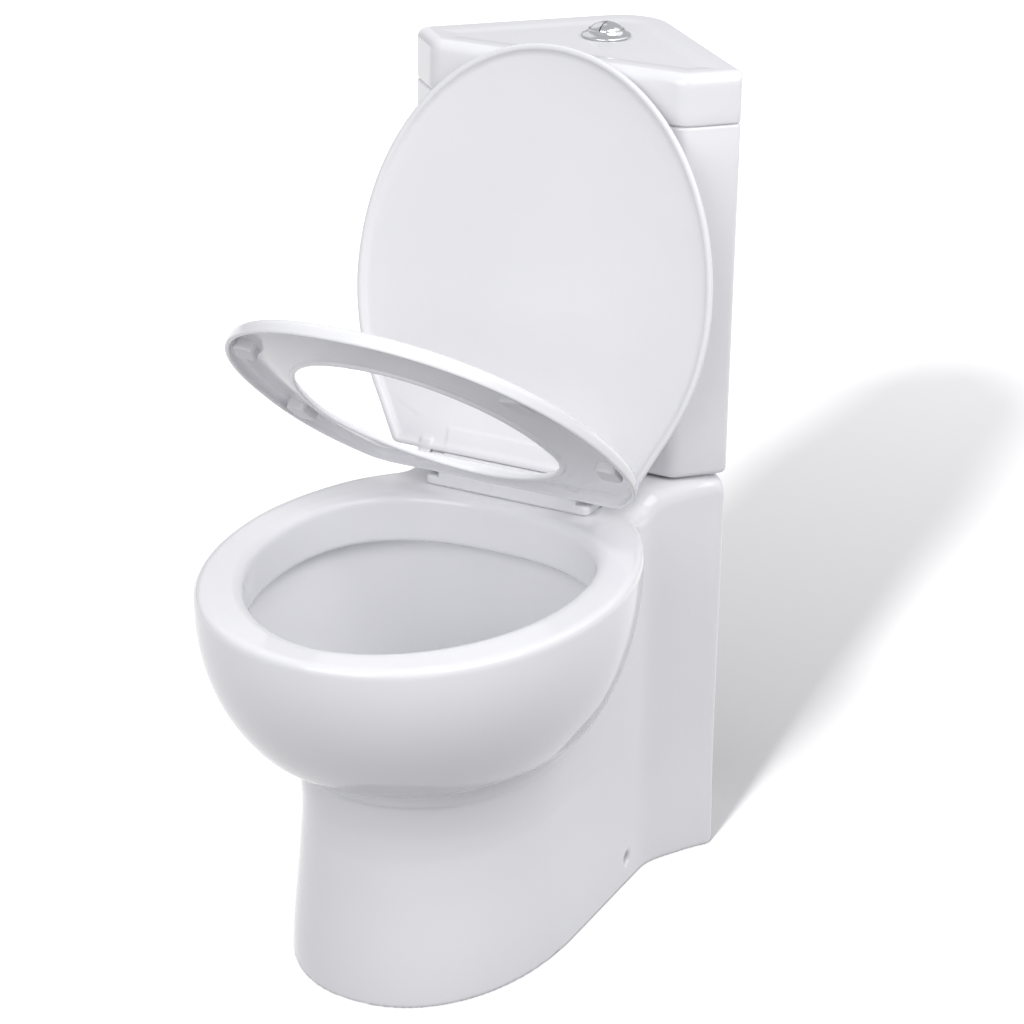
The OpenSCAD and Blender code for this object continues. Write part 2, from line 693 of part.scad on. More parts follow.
module coupling_gasket() {
    color(rubber_black) translate([0, -flush_y, deck_z - gasket_seat]) difference() {
        cylinder(r = gasket_r, h = gasket_seat + tank_gap);
        translate([0, 0, -1]) cylinder(r = tail_r + 9.5, h = gasket_seat + tank_gap + 2);
    }
}

// ---------------------------------------------------------------- close-coupling bolts
washer_r = 11;
under_deck = deck_z - wall;

module coupling_bolts() {
    color(brass) both_sides() translate([bolt_x, -bolt_y, 0]) {
        translate([0, 0, under_deck - 24]) cylinder(r = bolt_r, h = in_floor + 6 - under_deck + 24);
        translate([0, 0, in_floor + 6]) cylinder(r = 9, h = 4);
    }
}

module bolt_rubber_washers() {
    color(rubber_black) both_sides() translate([bolt_x, -bolt_y, in_floor]) difference() {
        cylinder(r1 = washer_r - 1, r2 = washer_r, h = 6);
        translate([0, 0, -1]) cylinder(r = bolt_r + 0.1, h = 8);
    }
}

module bolt_steel_washers() {
    color(zinc) both_sides() translate([bolt_x, -bolt_y, under_deck - 2]) difference() {
        cylinder(r = washer_r, h = 2);
        translate([0, 0, -1]) cylinder(r = bolt_r + 0.2, h = 4);
    }
}

module wing_nut(bore) {
    difference() {
        union() {
            cylinder(r = bore + 4, h = 9);
            translate([-bore - 9, -1.5, 0]) cube([2 * bore + 18, 3, 8]);
        }
        translate([0, 0, -1]) cylinder(r = bore + 0.1, h = 11);
    }
}

module coupling_wing_nuts() {
    color(brass) both_sides() translate([bolt_x, -bolt_y, under_deck - 11]) wing_nut(bolt_r);
}

// ---------------------------------------------------------------- fill valve
head_z = seam_z - 55;
lever_z = head_z + 22;
lever_gap = 3;              // half width of the lever's slot
lever_t = 2.4;              // half thickness of the lever
link_y = 22;                // distance of the float's rod from the lever's pin
link_r = 1.2;
pin_hole = 1.5;
float_h = 70;
float_top = head_z - 18;
tail_free = 21;             // length of the tail below its nut
fill_nut_h = 9;

module at_fill(z) {
    translate([fill_x, -fill_y, z]) children();
}

module fill_valve_column() {
    color(plastic_white) {
        at_fill(tank_z - fill_nut_h - tail_free) cylinder(r = fill_tail_r, h = tail_free + 1);
        at_fill(tank_z - fill_nut_h) cylinder(r = shank_r, h = fill_nut_h + tank_floor + 4);
        at_fill(in_floor + 3) cylinder(r = shank_r + 6, h = 4);
        at_fill(in_floor + 7) cylinder(r = column_r, h = head_z - in_floor - 7);
        at_fill(float_top - float_h - float_drop - fit - 6) cylinder(r = column_r + 2, h = 6);
    }
}

module fill_valve_washer() {
    color(rubber_black) at_fill(in_floor) difference() {
        cylinder(r = shank_r + 6, h = 3);
        translate([0, 0, -1]) cylinder(r = shank_r + 0.2, h = 5);
    }
}

module fill_valve_back_nut() {
    color(plastic_white) at_fill(tank_z - fill_nut_h) difference() {
        cylinder(r = shank_r + 7, h = fill_nut_h, $fn = 6);
        translate([0, 0, -1]) cylinder(r = shank_r + 0.1, h = fill_nut_h + 2);
    }
}

module fill_valve_head() {
    color(plastic_grey) difference() {
        union() {
            at_fill(head_z) cylinder(r = column_r + 4, h = 10);
            at_fill(head_z + 10) translate([-8, -8, 0]) cube([16, 16, 20]);
        }
        at_fill(head_z + 14) translate([-lever_gap, -20, 0]) cube([2 * lever_gap, 40, 20]);
        along_x(fill_x - 20, -fill_y, lever_z) cylinder(r = pin_hole, h = 40);
    }
}

module lever_pin() {
    color(zinc) along_x(fill_x - 8, -fill_y, lever_z) cylinder(r = pin_hole, h = 16);
}

// Swings on its pin and takes the float's rod through a slot at its front end
module float_lever() {
    w = lever_gap - fit;
    color(plastic_grey) difference() {
        union() {
            translate([fill_x - w, -fill_y - link_y - 8, lever_z - lever_t])
                cube([2 * w, link_y + 11, 2 * lever_t]);
            along_x(fill_x - w, -fill_y, lever_z) cylinder(r = 4, h = 2 * w);
        }
        translate([fill_x - link_r - 0.4, -fill_y - link_y - 5.2, lever_z - 5])
            cube([2 * link_r + 0.8, 7.2, 10]);
        along_x(fill_x - 10, -fill_y, lever_z) cylinder(r = pin_hole + running, h = 20);
    }
}

// Slides on the column, with an open air chamber underneath
module float_cup() {
    color(plastic_blue) difference() {
        at_fill(float_top - float_h) cylinder(r = column_r + 14, h = float_h);
        at_fill(float_top - float_h - 1) cylinder(r = column_r + 0.5, h = float_h + 2);
        at_fill(float_top - float_h - 1) difference() {
            cylinder(r = column_r + 12, h = float_h - 2);
            translate([0, 0, -1]) cylinder(r = column_r + 2.5, h = float_h);
        }
    }
}

module float_rod() {
    color(brass) translate([fill_x, -fill_y - link_y, float_top]) {
        cylinder(r = link_r, h = lever_z + lever_t + 3 - float_top);
        translate([0, 0, lever_z + lever_t + 2 - float_top]) cylinder(r = 2 * link_r, h = 2);
    }
}

// ---------------------------------------------------------------- seat
seat_low = rim_z + buffer_h;
seat_top = seat_low + seat_edge;
cover_low = seat_top + 0.8;
cover_top = cover_low + cover_edge;
ear_in = 73;
ear_w = 12;
ear_r = 9;
bushing = 2;

// Closed plan of a seat or cover: an egg cut off at the rear edge, with rounded rear corners
function shell_plan(w, front, back, rear, power, inset) = let (
        cut = seat_mid - back - inset,
        turn = asin(min(1, cut / (rear - inset))),
        egg = [for (i = [0:36]) let (a = mix(-90, turn, i / 36), c = cos(a), s = sin(a),
                b = s < 0 ? front - seat_mid - inset : rear - inset,
                x = (w / 2 - inset) * pow(abs(c), 2 / power), y = b * sign(s) * pow(abs(s), 2 / power))
            [x, min(y, cut) - seat_mid]],
        last = egg[36], turned = corner(egg[35], [last[0], -back - inset], [0, -back - inset], 10, 3))
    concat([for (i = [0:34]) egg[i]], turned, [for (i = [3:-1:0]) [-turned[i][0], turned[i][1]]],
        [for (i = [34:-1:1]) [-egg[i][0], egg[i][1]]]);

seat_rear = 196;
seat_power = 2.26;          // fullness of the seat's egg, where 2 is an ellipse
cover_rear = 211;
cover_power = 2;

function at_z(plan, z) = [for (p = plan) [p[0], p[1], z]];

function hole_plan(grow) = [for (i = [0:71]) let (a = -90 + i * 5, c = cos(a), s = sin(a),
        b = (s < 0 ? hole_front - seat_mid : seat_mid - hole_back) + grow, power = s < 0 ? 2.16 : 1.8)
    [(hole_w / 2 + grow) * sign(c) * pow(abs(c), 2 / power), b * sign(s) * pow(abs(s), 2 / power) - seat_mid]];

// The ears stand behind the seat's or the cover's rear edge and turn about the hinge axis
module ear(x, low, high, back) {
    difference() {
        union() {
            along_x(x, -hinge_y, hinge_z) cylinder(r = ear_r, h = ear_w);
            translate([x, -back - 8, low]) cube([ear_w, back + 8 - hinge_y, high - low]);
        }
        along_x(x - 1, -hinge_y, hinge_z) cylinder(r = pin_r + bushing, h = ear_w + 2);
    }
}

function seat_plan(inset, z) = at_z(
    shell_plan(seat_w, seat_front, seat_back, seat_rear, seat_power, inset), z);

seat_skin = 3.5;            // thickness of the seat's top
seat_wall = 4.5;            // thickness of the seat's outer wall
ring_w = 58;                // the seat's top is level again this far inside its edge
lip_t = 5;
lip_z = seat_low - 3;       // the wall of the hole hangs a little lower than the outer wall
inner_top = seat_top - seat_dish;

module seat_solid() {
    color(seat_white) difference() {
        union() {
            difference() {
                loft([seat_plan(1, seat_low), seat_plan(0, seat_low + 1.5), seat_plan(0, seat_top - 6),
                    seat_plan(2.5, seat_top - 1.7), seat_plan(7, seat_top), seat_plan(14, seat_top),
                    seat_plan(ring_w, inner_top)],
                    [0, -seat_mid, seat_low], [0, -seat_mid, inner_top]);
                seat_hollow();
            }
            translate([0, 0, lip_z]) linear_extrude(inner_top - 2 - lip_z) polygon(hole_plan(lip_t));
            both_sides() ear(ear_in, hinge_z - ear_r, seat_top, seat_back);
        }
        loft([at_z(hole_plan(0), lip_z - 1), at_z(hole_plan(0), inner_top - 2.5),
            at_z(hole_plan(3), inner_top + 0.3), at_z(hole_plan(3), seat_top + 20)],
            [0, -seat_mid, lip_z - 1], [0, -seat_mid, seat_top + 20]);
    }
}

// Moulded hollow in the underside, with a solid foot for each buffer
module seat_hollow() {
    difference() {
        loft([seat_plan(seat_wall, seat_low - 1), seat_plan(seat_wall, seat_top - 8),
            seat_plan(12, seat_top - seat_skin), seat_plan(ring_w, inner_top - seat_skin)],
            [0, -seat_mid, seat_low - 1], [0, -seat_mid, inner_top - seat_skin]);
        translate([0, 0, lip_z]) linear_extrude(seat_edge) polygon(hole_plan(lip_t));
        for (p = buffer_spots) translate([0, 0, lip_z]) linear_extrude(seat_edge + 3) buffer_plan(p, 1);
    }
}

module seat_ring() {
    raised(seat_angle) seat_solid();
}

// Buffers at the front and the back of the seat's underside, on both sides, with their lean in plan
buffer_r = 7;
buffer_spots = [for (side = [-1, 1]) each [[side * (seat_w / 2 - 48), 93 - seat_front, -side * 22],
    [side * (seat_w / 2 - 21), 36 - seat_mid, side * 4]]];

module buffer_plan(p, grow) {
    translate([p[0], p[1]]) rotate(p[2]) hull() for (y = [-9, 9]) translate([0, y]) circle(r = buffer_r + grow);
}

module seat_buffers() {
    color(plastic_white) raised(seat_angle) for (p = buffer_spots)
        translate([0, 0, rim_z + fit]) linear_extrude(buffer_h - fit) buffer_plan(p, 0);
}

module bush(x) {
    along_x(x, -hinge_y, hinge_z) difference() {
        cylinder(r = pin_r + bushing, h = ear_w);
        translate([0, 0, -1]) cylinder(r = pin_r + running, h = ear_w + 2);
    }
}

module seat_bushes() {
    color(plastic_grey) raised(seat_angle) both_sides() bush(ear_in);
}

// ---------------------------------------------------------------- cover
cover_ear_in = ear_in + ear_w + 2;

// The cover's outer face as pairs of inset and height, and the angle at which it leans on the lid
cover_face = [[0, -4], [4, 0], [30, cover_dome / 2], [90, cover_dome]];
cover_angle = 90 + asin(min([for (f = cover_face)
    (hinge_y - lid_front - lean_gap - (cover_top + max(0, f[1]) - hinge_z))
        / (cover_front - f[0] - hinge_y)]));

function cover_plan(inset, z) = at_z(
    shell_plan(cover_w, cover_front, cover_back, cover_rear, cover_power, inset), z);

module cover_outside() {
    loft(concat([cover_plan(1, cover_low), cover_plan(0, cover_low + 1.5)],
        [for (f = cover_face) cover_plan(f[0], cover_top + f[1])]),
        [0, -seat_mid, cover_low], [0, -seat_mid, cover_top + cover_dome]);
}

module cover_solid() {
    skin = cover_skin;
    color(seat_white) {
        difference() {
            cover_outside();
            loft([cover_plan(skin, cover_low - 1), cover_plan(skin, cover_top - skin - 2),
                cover_plan(30, cover_top + cover_dome / 2 - skin),
                cover_plan(90, cover_top + cover_dome - skin)],
                [0, -seat_mid, cover_low - 1], [0, -seat_mid, cover_top + cover_dome - skin]);
        }
        both_sides() ear(cover_ear_in, cover_low, cover_top, cover_back);
    }
}

module seat_cover() {
    raised(cover_angle) cover_solid();
}

module cover_bushes() {
    color(plastic_grey) raised(cover_angle) both_sides() bush(cover_ear_in);
}

// ---------------------------------------------------------------- hinge
bar_half = 86;
stud_y = 271;
stud_r = 4;
stud_slab = 14;             // thickness of the ceramic that the studs clamp
pocket_r = 17;              // the studs' nuts are reached through open pockets
pocket_h = 90;

module hinge_bar() {
    barrel = ear_in - 0.5;
    low_top = hinge_z - ear_r - 1.5;
    bar_top = low_top + 6;
    color(seat_white) difference() {
        union() {
            translate([-bar_half, -bar_front, rim_z])
                cube([2 * bar_half, bar_front - bar_back, low_top - rim_z]);
            translate([-barrel, -bar_front, rim_z]) cube([2 * barrel, bar_front - bar_back, bar_top - rim_z]);
            along_x(-barrel, -hinge_y, hinge_z) cylinder(r = ear_r, h = 2 * barrel);
        }
        both_sides() along_x(ear_in - 40, -hinge_y, hinge_z) cylinder(r = pin_r + running, h = 60);
    }
}

module hinge_pins() {
    color(zinc) both_sides() along_x(ear_in - 39, -hinge_y, hinge_z)
        cylinder(r = pin_r, h = cover_ear_in + ear_w - ear_in + 39);
}

module seat_studs() {
    color(zinc) both_sides() translate([stud_x, -stud_y, rim_z - 40]) cylinder(r = stud_r, h = 40);
}

module seat_stud_washers() {
    color(rubber_black) both_sides() translate([stud_x, -stud_y, rim_z - stud_slab - 3]) difference() {
        cylinder(r = 12, h = 3);
        translate([0, 0, -1]) cylinder(r = stud_r + 0.1, h = 5);
    }
}

module seat_stud_nuts() {
    color(plastic_white) both_sides() translate([stud_x, -stud_y, rim_z - stud_slab - 12]) wing_nut(stud_r);
}

// ---------------------------------------------------------------- what is drawn
pan();
pan_foot();
cistern();
cistern_lid();
seat_ring();
seat_cover();
hinge_bar();
hinge_pins();
seat_bushes();
cover_bushes();
seat_buffers();
seat_studs();
seat_stud_washers();
seat_stud_nuts();
button_bezel();
button_back_nut();
half_flush_button();
full_flush_button();
half_flush_rod();
full_flush_rod();
half_flush_spring();
full_flush_spring();
flush_valve_base();
flush_valve_tower();
flush_valve_washer();
flush_valve_back_nut();
overflow_tube();
flush_seal();
coupling_gasket();
coupling_bolts();
bolt_rubber_washers();
bolt_steel_washers();
coupling_wing_nuts();
fill_valve_column();
fill_valve_washer();
fill_valve_back_nut();
fill_valve_head();
float_cup();
float_rod();
float_lever();
lever_pin();
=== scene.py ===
"""Looks of the corner toilet. All lengths in the shape code are millimetres in the row frame:
the origin is the wall corner on the floor, the front is -Y and +Z is up."""
import math

import bmesh
import bpy
import numpy as np
from mathutils import Matrix, Vector


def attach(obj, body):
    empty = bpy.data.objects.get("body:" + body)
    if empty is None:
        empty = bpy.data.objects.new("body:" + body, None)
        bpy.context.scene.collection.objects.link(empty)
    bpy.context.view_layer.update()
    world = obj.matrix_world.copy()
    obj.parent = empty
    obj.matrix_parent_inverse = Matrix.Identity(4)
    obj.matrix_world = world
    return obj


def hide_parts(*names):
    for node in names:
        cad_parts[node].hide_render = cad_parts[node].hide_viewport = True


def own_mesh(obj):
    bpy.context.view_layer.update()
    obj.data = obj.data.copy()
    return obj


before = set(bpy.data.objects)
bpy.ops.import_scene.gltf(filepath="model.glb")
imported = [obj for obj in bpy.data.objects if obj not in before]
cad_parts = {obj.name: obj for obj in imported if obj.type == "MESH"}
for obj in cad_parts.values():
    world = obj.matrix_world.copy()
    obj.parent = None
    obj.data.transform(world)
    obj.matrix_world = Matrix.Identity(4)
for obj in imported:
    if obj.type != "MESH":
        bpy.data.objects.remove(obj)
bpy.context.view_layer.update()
MM = 0.001  # one millimetre in metres
HALF = math.sqrt(0.5)  # the walls of the corner stand at 45 degrees to the front

# ---------------------------------------------------------------- heights and shared places
RIM_Z, DECK_Z, TANK_Z = 385.0, 396.0, 398.0
SEAM_Z, LID_Z, LID_DISH = 740.0, 788.0, 1.1
FLUSH_Y = 105.0  # the flush valve and its button stand this far in front of the corner

PLAN_Z = 144.0  # the pedestal's plan is full from here up
WALL = 12.0  # ceramic around the hollow behind and below the bowl
SUMP_Y, SUMP_Z, SUMP_R = -345.0, 92.0, 42.0
OUTLET = ((SUMP_Y, SUMP_Z), (-232, 216), (-178, 180), (-112, 180))  # the trapway, as (y, z)
OUTLET_R, SPIGOT_R = 39.0, 51.0
CHANNEL_Z = (342, 368)  # the water channel from the flush inlet to the rim
BOLT_X, BOLT_Y = 62.0, -175.0  # close-coupling bolts
TAIL_X, TAIL_Y = 98.0, -158.0  # the fill valve's tail
STUD_X, STUD_Y = 77.5, -271.0  # seat studs
FIXING_X, FIXING_Y, FIXING_Z, FIXING_LEAN = 119.5, -282.0, 26.0, math.radians(2)  # side fixing holes

TANK_WING, TANK_FRONT = 238.5, 208.0  # distance of the small sides and of the front from the corner
LID_WING, LID_FRONT = 239.0, 209.0
TANK_FLOOR_Z, LID_UNDER_Z = 412.0, 773.0
APEX_R = 46.0  # the round corner at the back of tank and lid
CORNER_STEPS, SIDE_POINTS = 10, 6

HINGE_Y, HINGE_Z = -290.0, 405.0
SEAT_ANGLE = 38.4
COVER_ANGLE = 90 + math.degrees(math.asin((290 - 209 - 1.5 - 5.8) / (694 - 290)))  # it leans on the lid
SEAT_LOW, SEAT_TOP = RIM_Z + 4, RIM_Z + 18
COVER_LOW, COVER_TOP = SEAT_TOP + 0.8, SEAT_TOP + 7.8
PAD_LOW = SEAT_LOW - 0.8
SEAT_MID, SEAT_BACK = -466.0, -315.0  # middle of the seat's and cover's eggs, and the seat's cut rear
COVER_BACK, COVER_TANGENT_Y = -300.5, -358.5
BAR_HALF = 72.5

BEZEL_Z = LID_Z - LID_DISH
BUTTON_LOW = BEZEL_Z + 1.0
UNDER, SPRING_FOOT = 784.0, 770.2  # underside of the buttons and the floor of the bezel's cup
ROD_X = 8.5  # the springs and push rods stand this far beside the middle
WIRE = 0.6  # radius of the springs' wire


# ---------------------------------------------------------------- field helpers
def soft_min(a, b, k):
    """The smaller of two fields, with a soft hollow of width k where they meet."""
    h = np.maximum(k - np.abs(a - b), 0) / k
    return np.minimum(a, b) - h * h * (k * 0.25)


def soft_max(a, b, k):
    """The larger of two fields, with a soft edge of width k where they meet."""
    return -soft_min(-a, -b, k)


def round_max(a, b, r):
    """Where two fields meet at an outside edge, rounded with radius r."""
    return np.minimum(np.maximum(a, b), -r) + np.hypot(np.maximum(a + r, 0), np.maximum(b + r, 0))


def ease(a, b, t):
    """Rises smoothly from 0 at t = a to 1 at t = b."""
    u = np.clip((t - a) / (b - a), 0, 1)
    return u * u * (3 - 2 * u)


def oval_ray(x, y, a, b, p):
    """Distance along the ray from the middle of an oval with half axes a and b."""
    s = ((np.abs(x) / a) ** p + (np.abs(y) / b) ** p) ** (1 / p)
    s = np.maximum(s, 0.02)
    return np.hypot(x, y) * (1 - 1 / s) - (s <= 0.02) * a


def egg(x, y, a, front, rear, pf, pr):
    """First-order distance to an egg about the origin, its front towards -y."""
    ahead = y < 0
    b = np.where(ahead, front, rear)
    p = np.where(ahead, pf, pr)
    u, v = np.abs(x) / a + 1e-5, np.abs(y) / b + 1e-5
    s = (u ** p + v ** p) ** (1 / p)
    g = np.hypot(u ** (p - 1) / a, v ** (p - 1) / b) * s ** (1 - p)
    return (s - 1) / g


def slab(t, low, high):
    """Negative between low and high."""
    return np.maximum(low - t, t - high)


def tube(x, y, r):
    """Distance to a circle about the origin."""
    return np.hypot(x, y) - r


def capsule(x, y, z, p, q, r):
    """A round rod between two points in the plane x = 0."""
    d = np.subtract(q, p)
    t = np.clip(((y - p[0]) * d[0] + (z - p[1]) * d[1]) / (d @ d), 0, 1)
    return np.sqrt(x * x + (y - p[0] - t * d[0]) ** 2 + (z - p[1] - t * d[1]) ** 2) - r


# ---------------------------------------------------------------- from fields to meshes
CORNERS = [(i, j, k) for i in (0, 1) for j in (0, 1) for k in (0, 1)]
EDGES = [(a, b) for a in CORNERS for b in CORNERS
         if sum(b) - sum(a) == 1 and all(q >= p for p, q in zip(a, b))]


def skin(field, low, high, step, relax=4):
    """The surface where field is 0, as smooth quads: one point for each cell that it crosses."""
    low, high = np.array(low, float), np.array(high, float)
    n = np.ceil((high - low) / step).astype(int) + 1
    axes = [(low[i] + step * np.arange(n[i])).astype(np.float32) for i in range(3)]
    f = np.empty(n, np.float32)
    batch = 24  # layers at a time, to save memory
    for i0 in range(0, n[0], batch):
        x, y, z = np.meshgrid(axes[0][i0:i0 + batch], axes[1], axes[2], indexing="ij")
        f[i0:i0 + batch] = field(x, y, z)
    inside = f < 0
    m = n - 1

    def shifted(a, c):
        return a[c[0]:c[0] + m[0], c[1]:c[1] + m[1], c[2]:c[2] + m[2]]

    count = sum(shifted(inside, c).astype(np.int8) for c in CORNERS)
    cell = np.argwhere((count > 0) & (count < 8))
    index = np.full(m, -1, np.int64)
    index[tuple(cell.T)] = np.arange(len(cell))
    total, weight = np.zeros((len(cell), 3)), np.zeros(len(cell))
    for a, b in EDGES:
        fa, fb = f[tuple((cell + a).T)], f[tuple((cell + b).T)]
        cross = (fa < 0) != (fb < 0)
        t = np.where(cross, fa / np.where(cross, fa - fb, 1), 0)
        total += cross[:, None] * (np.array(a) + t[:, None] * np.subtract(b, a))
        weight += cross
    points = low + step * (cell + total / weight[:, None])
    quads = []
    for d in range(3):
        e, g = [(1, 2), (2, 0), (0, 1)][d]
        lo_i, hi_i = [slice(1, -1)] * 3, [slice(1, -1)] * 3
        lo_i[d], hi_i[d] = slice(0, -1), slice(1, None)
        a, b = inside[tuple(lo_i)], inside[tuple(hi_i)]
        at = np.argwhere(a != b)
        out = a[tuple(at.T)]
        base = at + 1
        base[:, d] -= 1
        ring = []
        for de, dg in ((0, 0), (-1, 0), (-1, -1), (0, -1)):
            c = base.copy()
            c[:, e] += de
            c[:, g] += dg
            ring.append(index[tuple(c.T)])
        q = np.stack(ring, 1)
        q[~out] = q[~out][:, ::-1]
        quads.append(q)
    quads = np.concatenate(quads)
    quads = quads[(quads >= 0).all(1)]
    pairs = np.concatenate([quads[:, [i, (i + 1) % 4]] for i in range(4)])
    pairs = np.concatenate([pairs, pairs[:, ::-1]])
    near = np.bincount(pairs[:, 0], minlength=len(points))
    for turn in range(relax + 2):
        if turn < relax:
            mean = np.stack([np.bincount(pairs[:, 0], points[pairs[:, 1], i], len(points))
                             for i in range(3)], 1)
            points = points + 0.5 * (mean / np.maximum(near, 1)[:, None] - points)
        points = settle(field, points, step)
    return points, quads


def settle(field, points, step):
    """Moves points onto the surface along the field's slope."""
    x, y, z = points.T
    h = 0.05
    v = field(x, y, z)
    g = np.stack([field(x + h, y, z) - v, field(x, y + h, z) - v, field(x, y, z + h) - v], 1) / h
    size = np.maximum((g * g).sum(1), 0.05)
    move = -(v / size)[:, None] * g
    length = np.sqrt((move * move).sum(1))
    return points + move * np.minimum(1, 0.5 * step / np.maximum(length, 1e-9))[:, None]


def ring_faces(n, m, wrap):
    """Quads through m rings of n points; wrap joins the last ring to the first."""
    k = np.arange(m if wrap else m - 1)
    i = np.arange(n)
    k, i = np.meshgrid(k, i, indexing="ij")
    a, b = k * n + i, k * n + (i + 1) % n
    c, d = (k + 1) % m * n + (i + 1) % n, (k + 1) % m * n + i
    return np.stack([a, b, c, d], -1).reshape(-1, 4)


def raised(points, angle):
    """Turns closed seat or cover points up about the hinge."""
    a = math.radians(angle)
    y, z = points[:, 1] - HINGE_Y, points[:, 2] - HINGE_Z
    return np.stack([points[:, 0], HINGE_Y + y * math.cos(a) + z * math.sin(a),
                     HINGE_Z - y * math.sin(a) + z * math.cos(a)], 1)


def add_piece(name, points, faces, body, material, nodes):
    """Makes a smooth mesh of points in mm and faces that all have as many corners."""
    mesh = bpy.data.meshes.new(name)
    points = np.asarray(points, float) * MM
    sizes = np.full(len(faces), len(faces[0]))
    mesh.vertices.add(len(points))
    mesh.vertices.foreach_set("co", points.ravel())
    mesh.loops.add(int(sizes.sum()))
    mesh.loops.foreach_set("vertex_index", np.asarray(faces).ravel())
    mesh.polygons.add(len(sizes))
    mesh.polygons.foreach_set("loop_start", np.concatenate([[0], np.cumsum(sizes)[:-1]]))
    mesh.polygons.foreach_set("use_smooth", np.full(len(sizes), True))
    mesh.update(calc_edges=True)
    mesh.validate()
    piece = bpy.data.objects.new(name, mesh)
    bpy.context.scene.collection.objects.link(piece)
    mesh.materials.append(material)
    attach(piece, body)
    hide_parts(*nodes)
    return piece


def add_rings(name, rings, wrap, body, material, nodes):
    """Makes a piece from rings that all have as many points."""
    faces = ring_faces(len(rings[0]), len(rings), wrap)
    return add_piece(name, np.concatenate(rings), faces, body, material, nodes)


# ---------------------------------------------------------------- materials
class Nodes:
    """Short calls for building a material."""

    def __init__(self, name):
        self.material = bpy.data.materials.new(name)
        self.material.use_nodes = True
        self.tree = self.material.node_tree
        self.tree.nodes.clear()
        self.out = self.add("ShaderNodeOutputMaterial")
        self.place = self.add("ShaderNodeTexCoord").outputs["Object"]

    def add(self, kind, values=None, **settings):
        node = self.tree.nodes.new(kind)
        for key, value in settings.items():
            setattr(node, key, value)
        for key, value in (values or {}).items():
            if isinstance(value, bpy.types.NodeSocket):
                self.tree.links.new(value, node.inputs[key])
            else:
                node.inputs[key].default_value = value
        return node

    def noise(self, scale, detail=2.0, rough=0.5):
        return self.add("ShaderNodeTexNoise", {"Vector": self.place, "Scale": scale, "Detail": detail,
                                               "Roughness": rough}).outputs["Fac"]

    def ramp(self, value, low, high, start=0.3, end=0.7):
        return self.add("ShaderNodeMapRange", {"Value": value, "From Min": start, "From Max": end,
                                               "To Min": low, "To Max": high}).outputs["Result"]

    def colour(self, value, a, b):
        mix = self.add("ShaderNodeMix", {"Factor": value}, data_type="RGBA")
        mix.inputs["A"].default_value = (*a, 1)
        mix.inputs["B"].default_value = (*b, 1)
        return mix.outputs["Result"]

    def bump(self, height, strength, distance, normal=None):
        values = {"Height": height, "Strength": strength, "Distance": distance}
        if normal is not None:
            values["Normal"] = normal
        return self.add("ShaderNodeBump", values).outputs["Normal"]

    def finish(self, shader):
        self.tree.links.new(shader.outputs[0], self.out.inputs["Surface"])
        return self.material


def glaze(name, light, dark, rough=(0.05, 0.11), coat=0.25):
    """Fired white glaze: clean and glossy, with slow waves and faint pinholes in the surface."""
    n = Nodes(name)
    tone = n.ramp(n.noise(5.0, 3.0), 0, 1)
    waves = n.bump(n.noise(16.0, 1.0), 0.25, 0.0007)
    fine = n.bump(n.noise(160.0, 2.0), 0.10, 0.00012, waves)
    shader = n.add("ShaderNodeBsdfPrincipled", {
        "Base Color": n.colour(tone, dark, light), "Roughness": n.ramp(n.noise(9.0, 2.0), *rough),
        "Coat Weight": coat, "Coat Roughness": 0.03, "IOR": 1.5, "Normal": fine})
    return n.finish(shader)


def moulded(name, light, dark, rough=(0.2, 0.3), grain=420.0, depth=0.00003):
    """Moulded plastic: an even colour with slight flow marks and a fine skin."""
    n = Nodes(name)
    tone = n.ramp(n.noise(14.0, 2.0), 0, 1)
    skin_bump = n.bump(n.noise(grain, 2.0), 0.25, depth, n.bump(n.noise(22.0, 1.0), 0.2, 0.0003))
    shader = n.add("ShaderNodeBsdfPrincipled", {
        "Base Color": n.colour(tone, dark, light), "Roughness": n.ramp(n.noise(30.0, 2.0), *rough),
        "IOR": 1.48, "Normal": skin_bump})
    return n.finish(shader)


def metal(name, light, dark, rough, scratch=900.0, depth=0.00001):
    """Bare or plated metal with a cloudy tone and fine scratches."""
    n = Nodes(name)
    tone = n.ramp(n.noise(40.0, 3.0), 0, 1)
    lines = n.bump(n.noise(scratch, 3.0), 0.2, depth)
    shader = n.add("ShaderNodeBsdfPrincipled", {
        "Base Color": n.colour(tone, dark, light), "Metallic": 1.0,
        "Roughness": n.ramp(n.noise(120.0, 3.0), *rough), "Normal": lines})
    return n.finish(shader)


GLAZE = glaze("white_glaze", (0.86, 0.86, 0.885), (0.84, 0.84, 0.868))
SEAT = moulded("seat_white", (0.86, 0.86, 0.88), (0.845, 0.845, 0.868), (0.12, 0.2), 300.0, 0.00002)
BAR = moulded("hinge_white", (0.84, 0.84, 0.86), (0.82, 0.82, 0.845), (0.25, 0.35))
CHROME = metal("chrome", (0.80, 0.81, 0.83), (0.74, 0.75, 0.77), (0.12, 0.18))
ZINC = metal("zinc_plate", (0.62, 0.63, 0.66), (0.52, 0.53, 0.56), (0.3, 0.45), 500.0, 0.00003)
BRASS = metal("brass", (0.75, 0.58, 0.28), (0.66, 0.49, 0.22), (0.22, 0.38), 500.0, 0.00003)
RUBBER = moulded("black_rubber", (0.035, 0.035, 0.037), (0.022, 0.022, 0.024), (0.55, 0.75), 500.0,
                 0.00006)
SOFT_WHITE = moulded("buffer_white", (0.77, 0.77, 0.78), (0.73, 0.73, 0.745), (0.35, 0.5), 350.0, 0.00005)
VALVE_WHITE = moulded("valve_white", (0.78, 0.78, 0.75), (0.72, 0.72, 0.69), (0.35, 0.5))
VALVE_GREY = moulded("valve_grey", (0.38, 0.40, 0.42), (0.32, 0.34, 0.36), (0.4, 0.55))
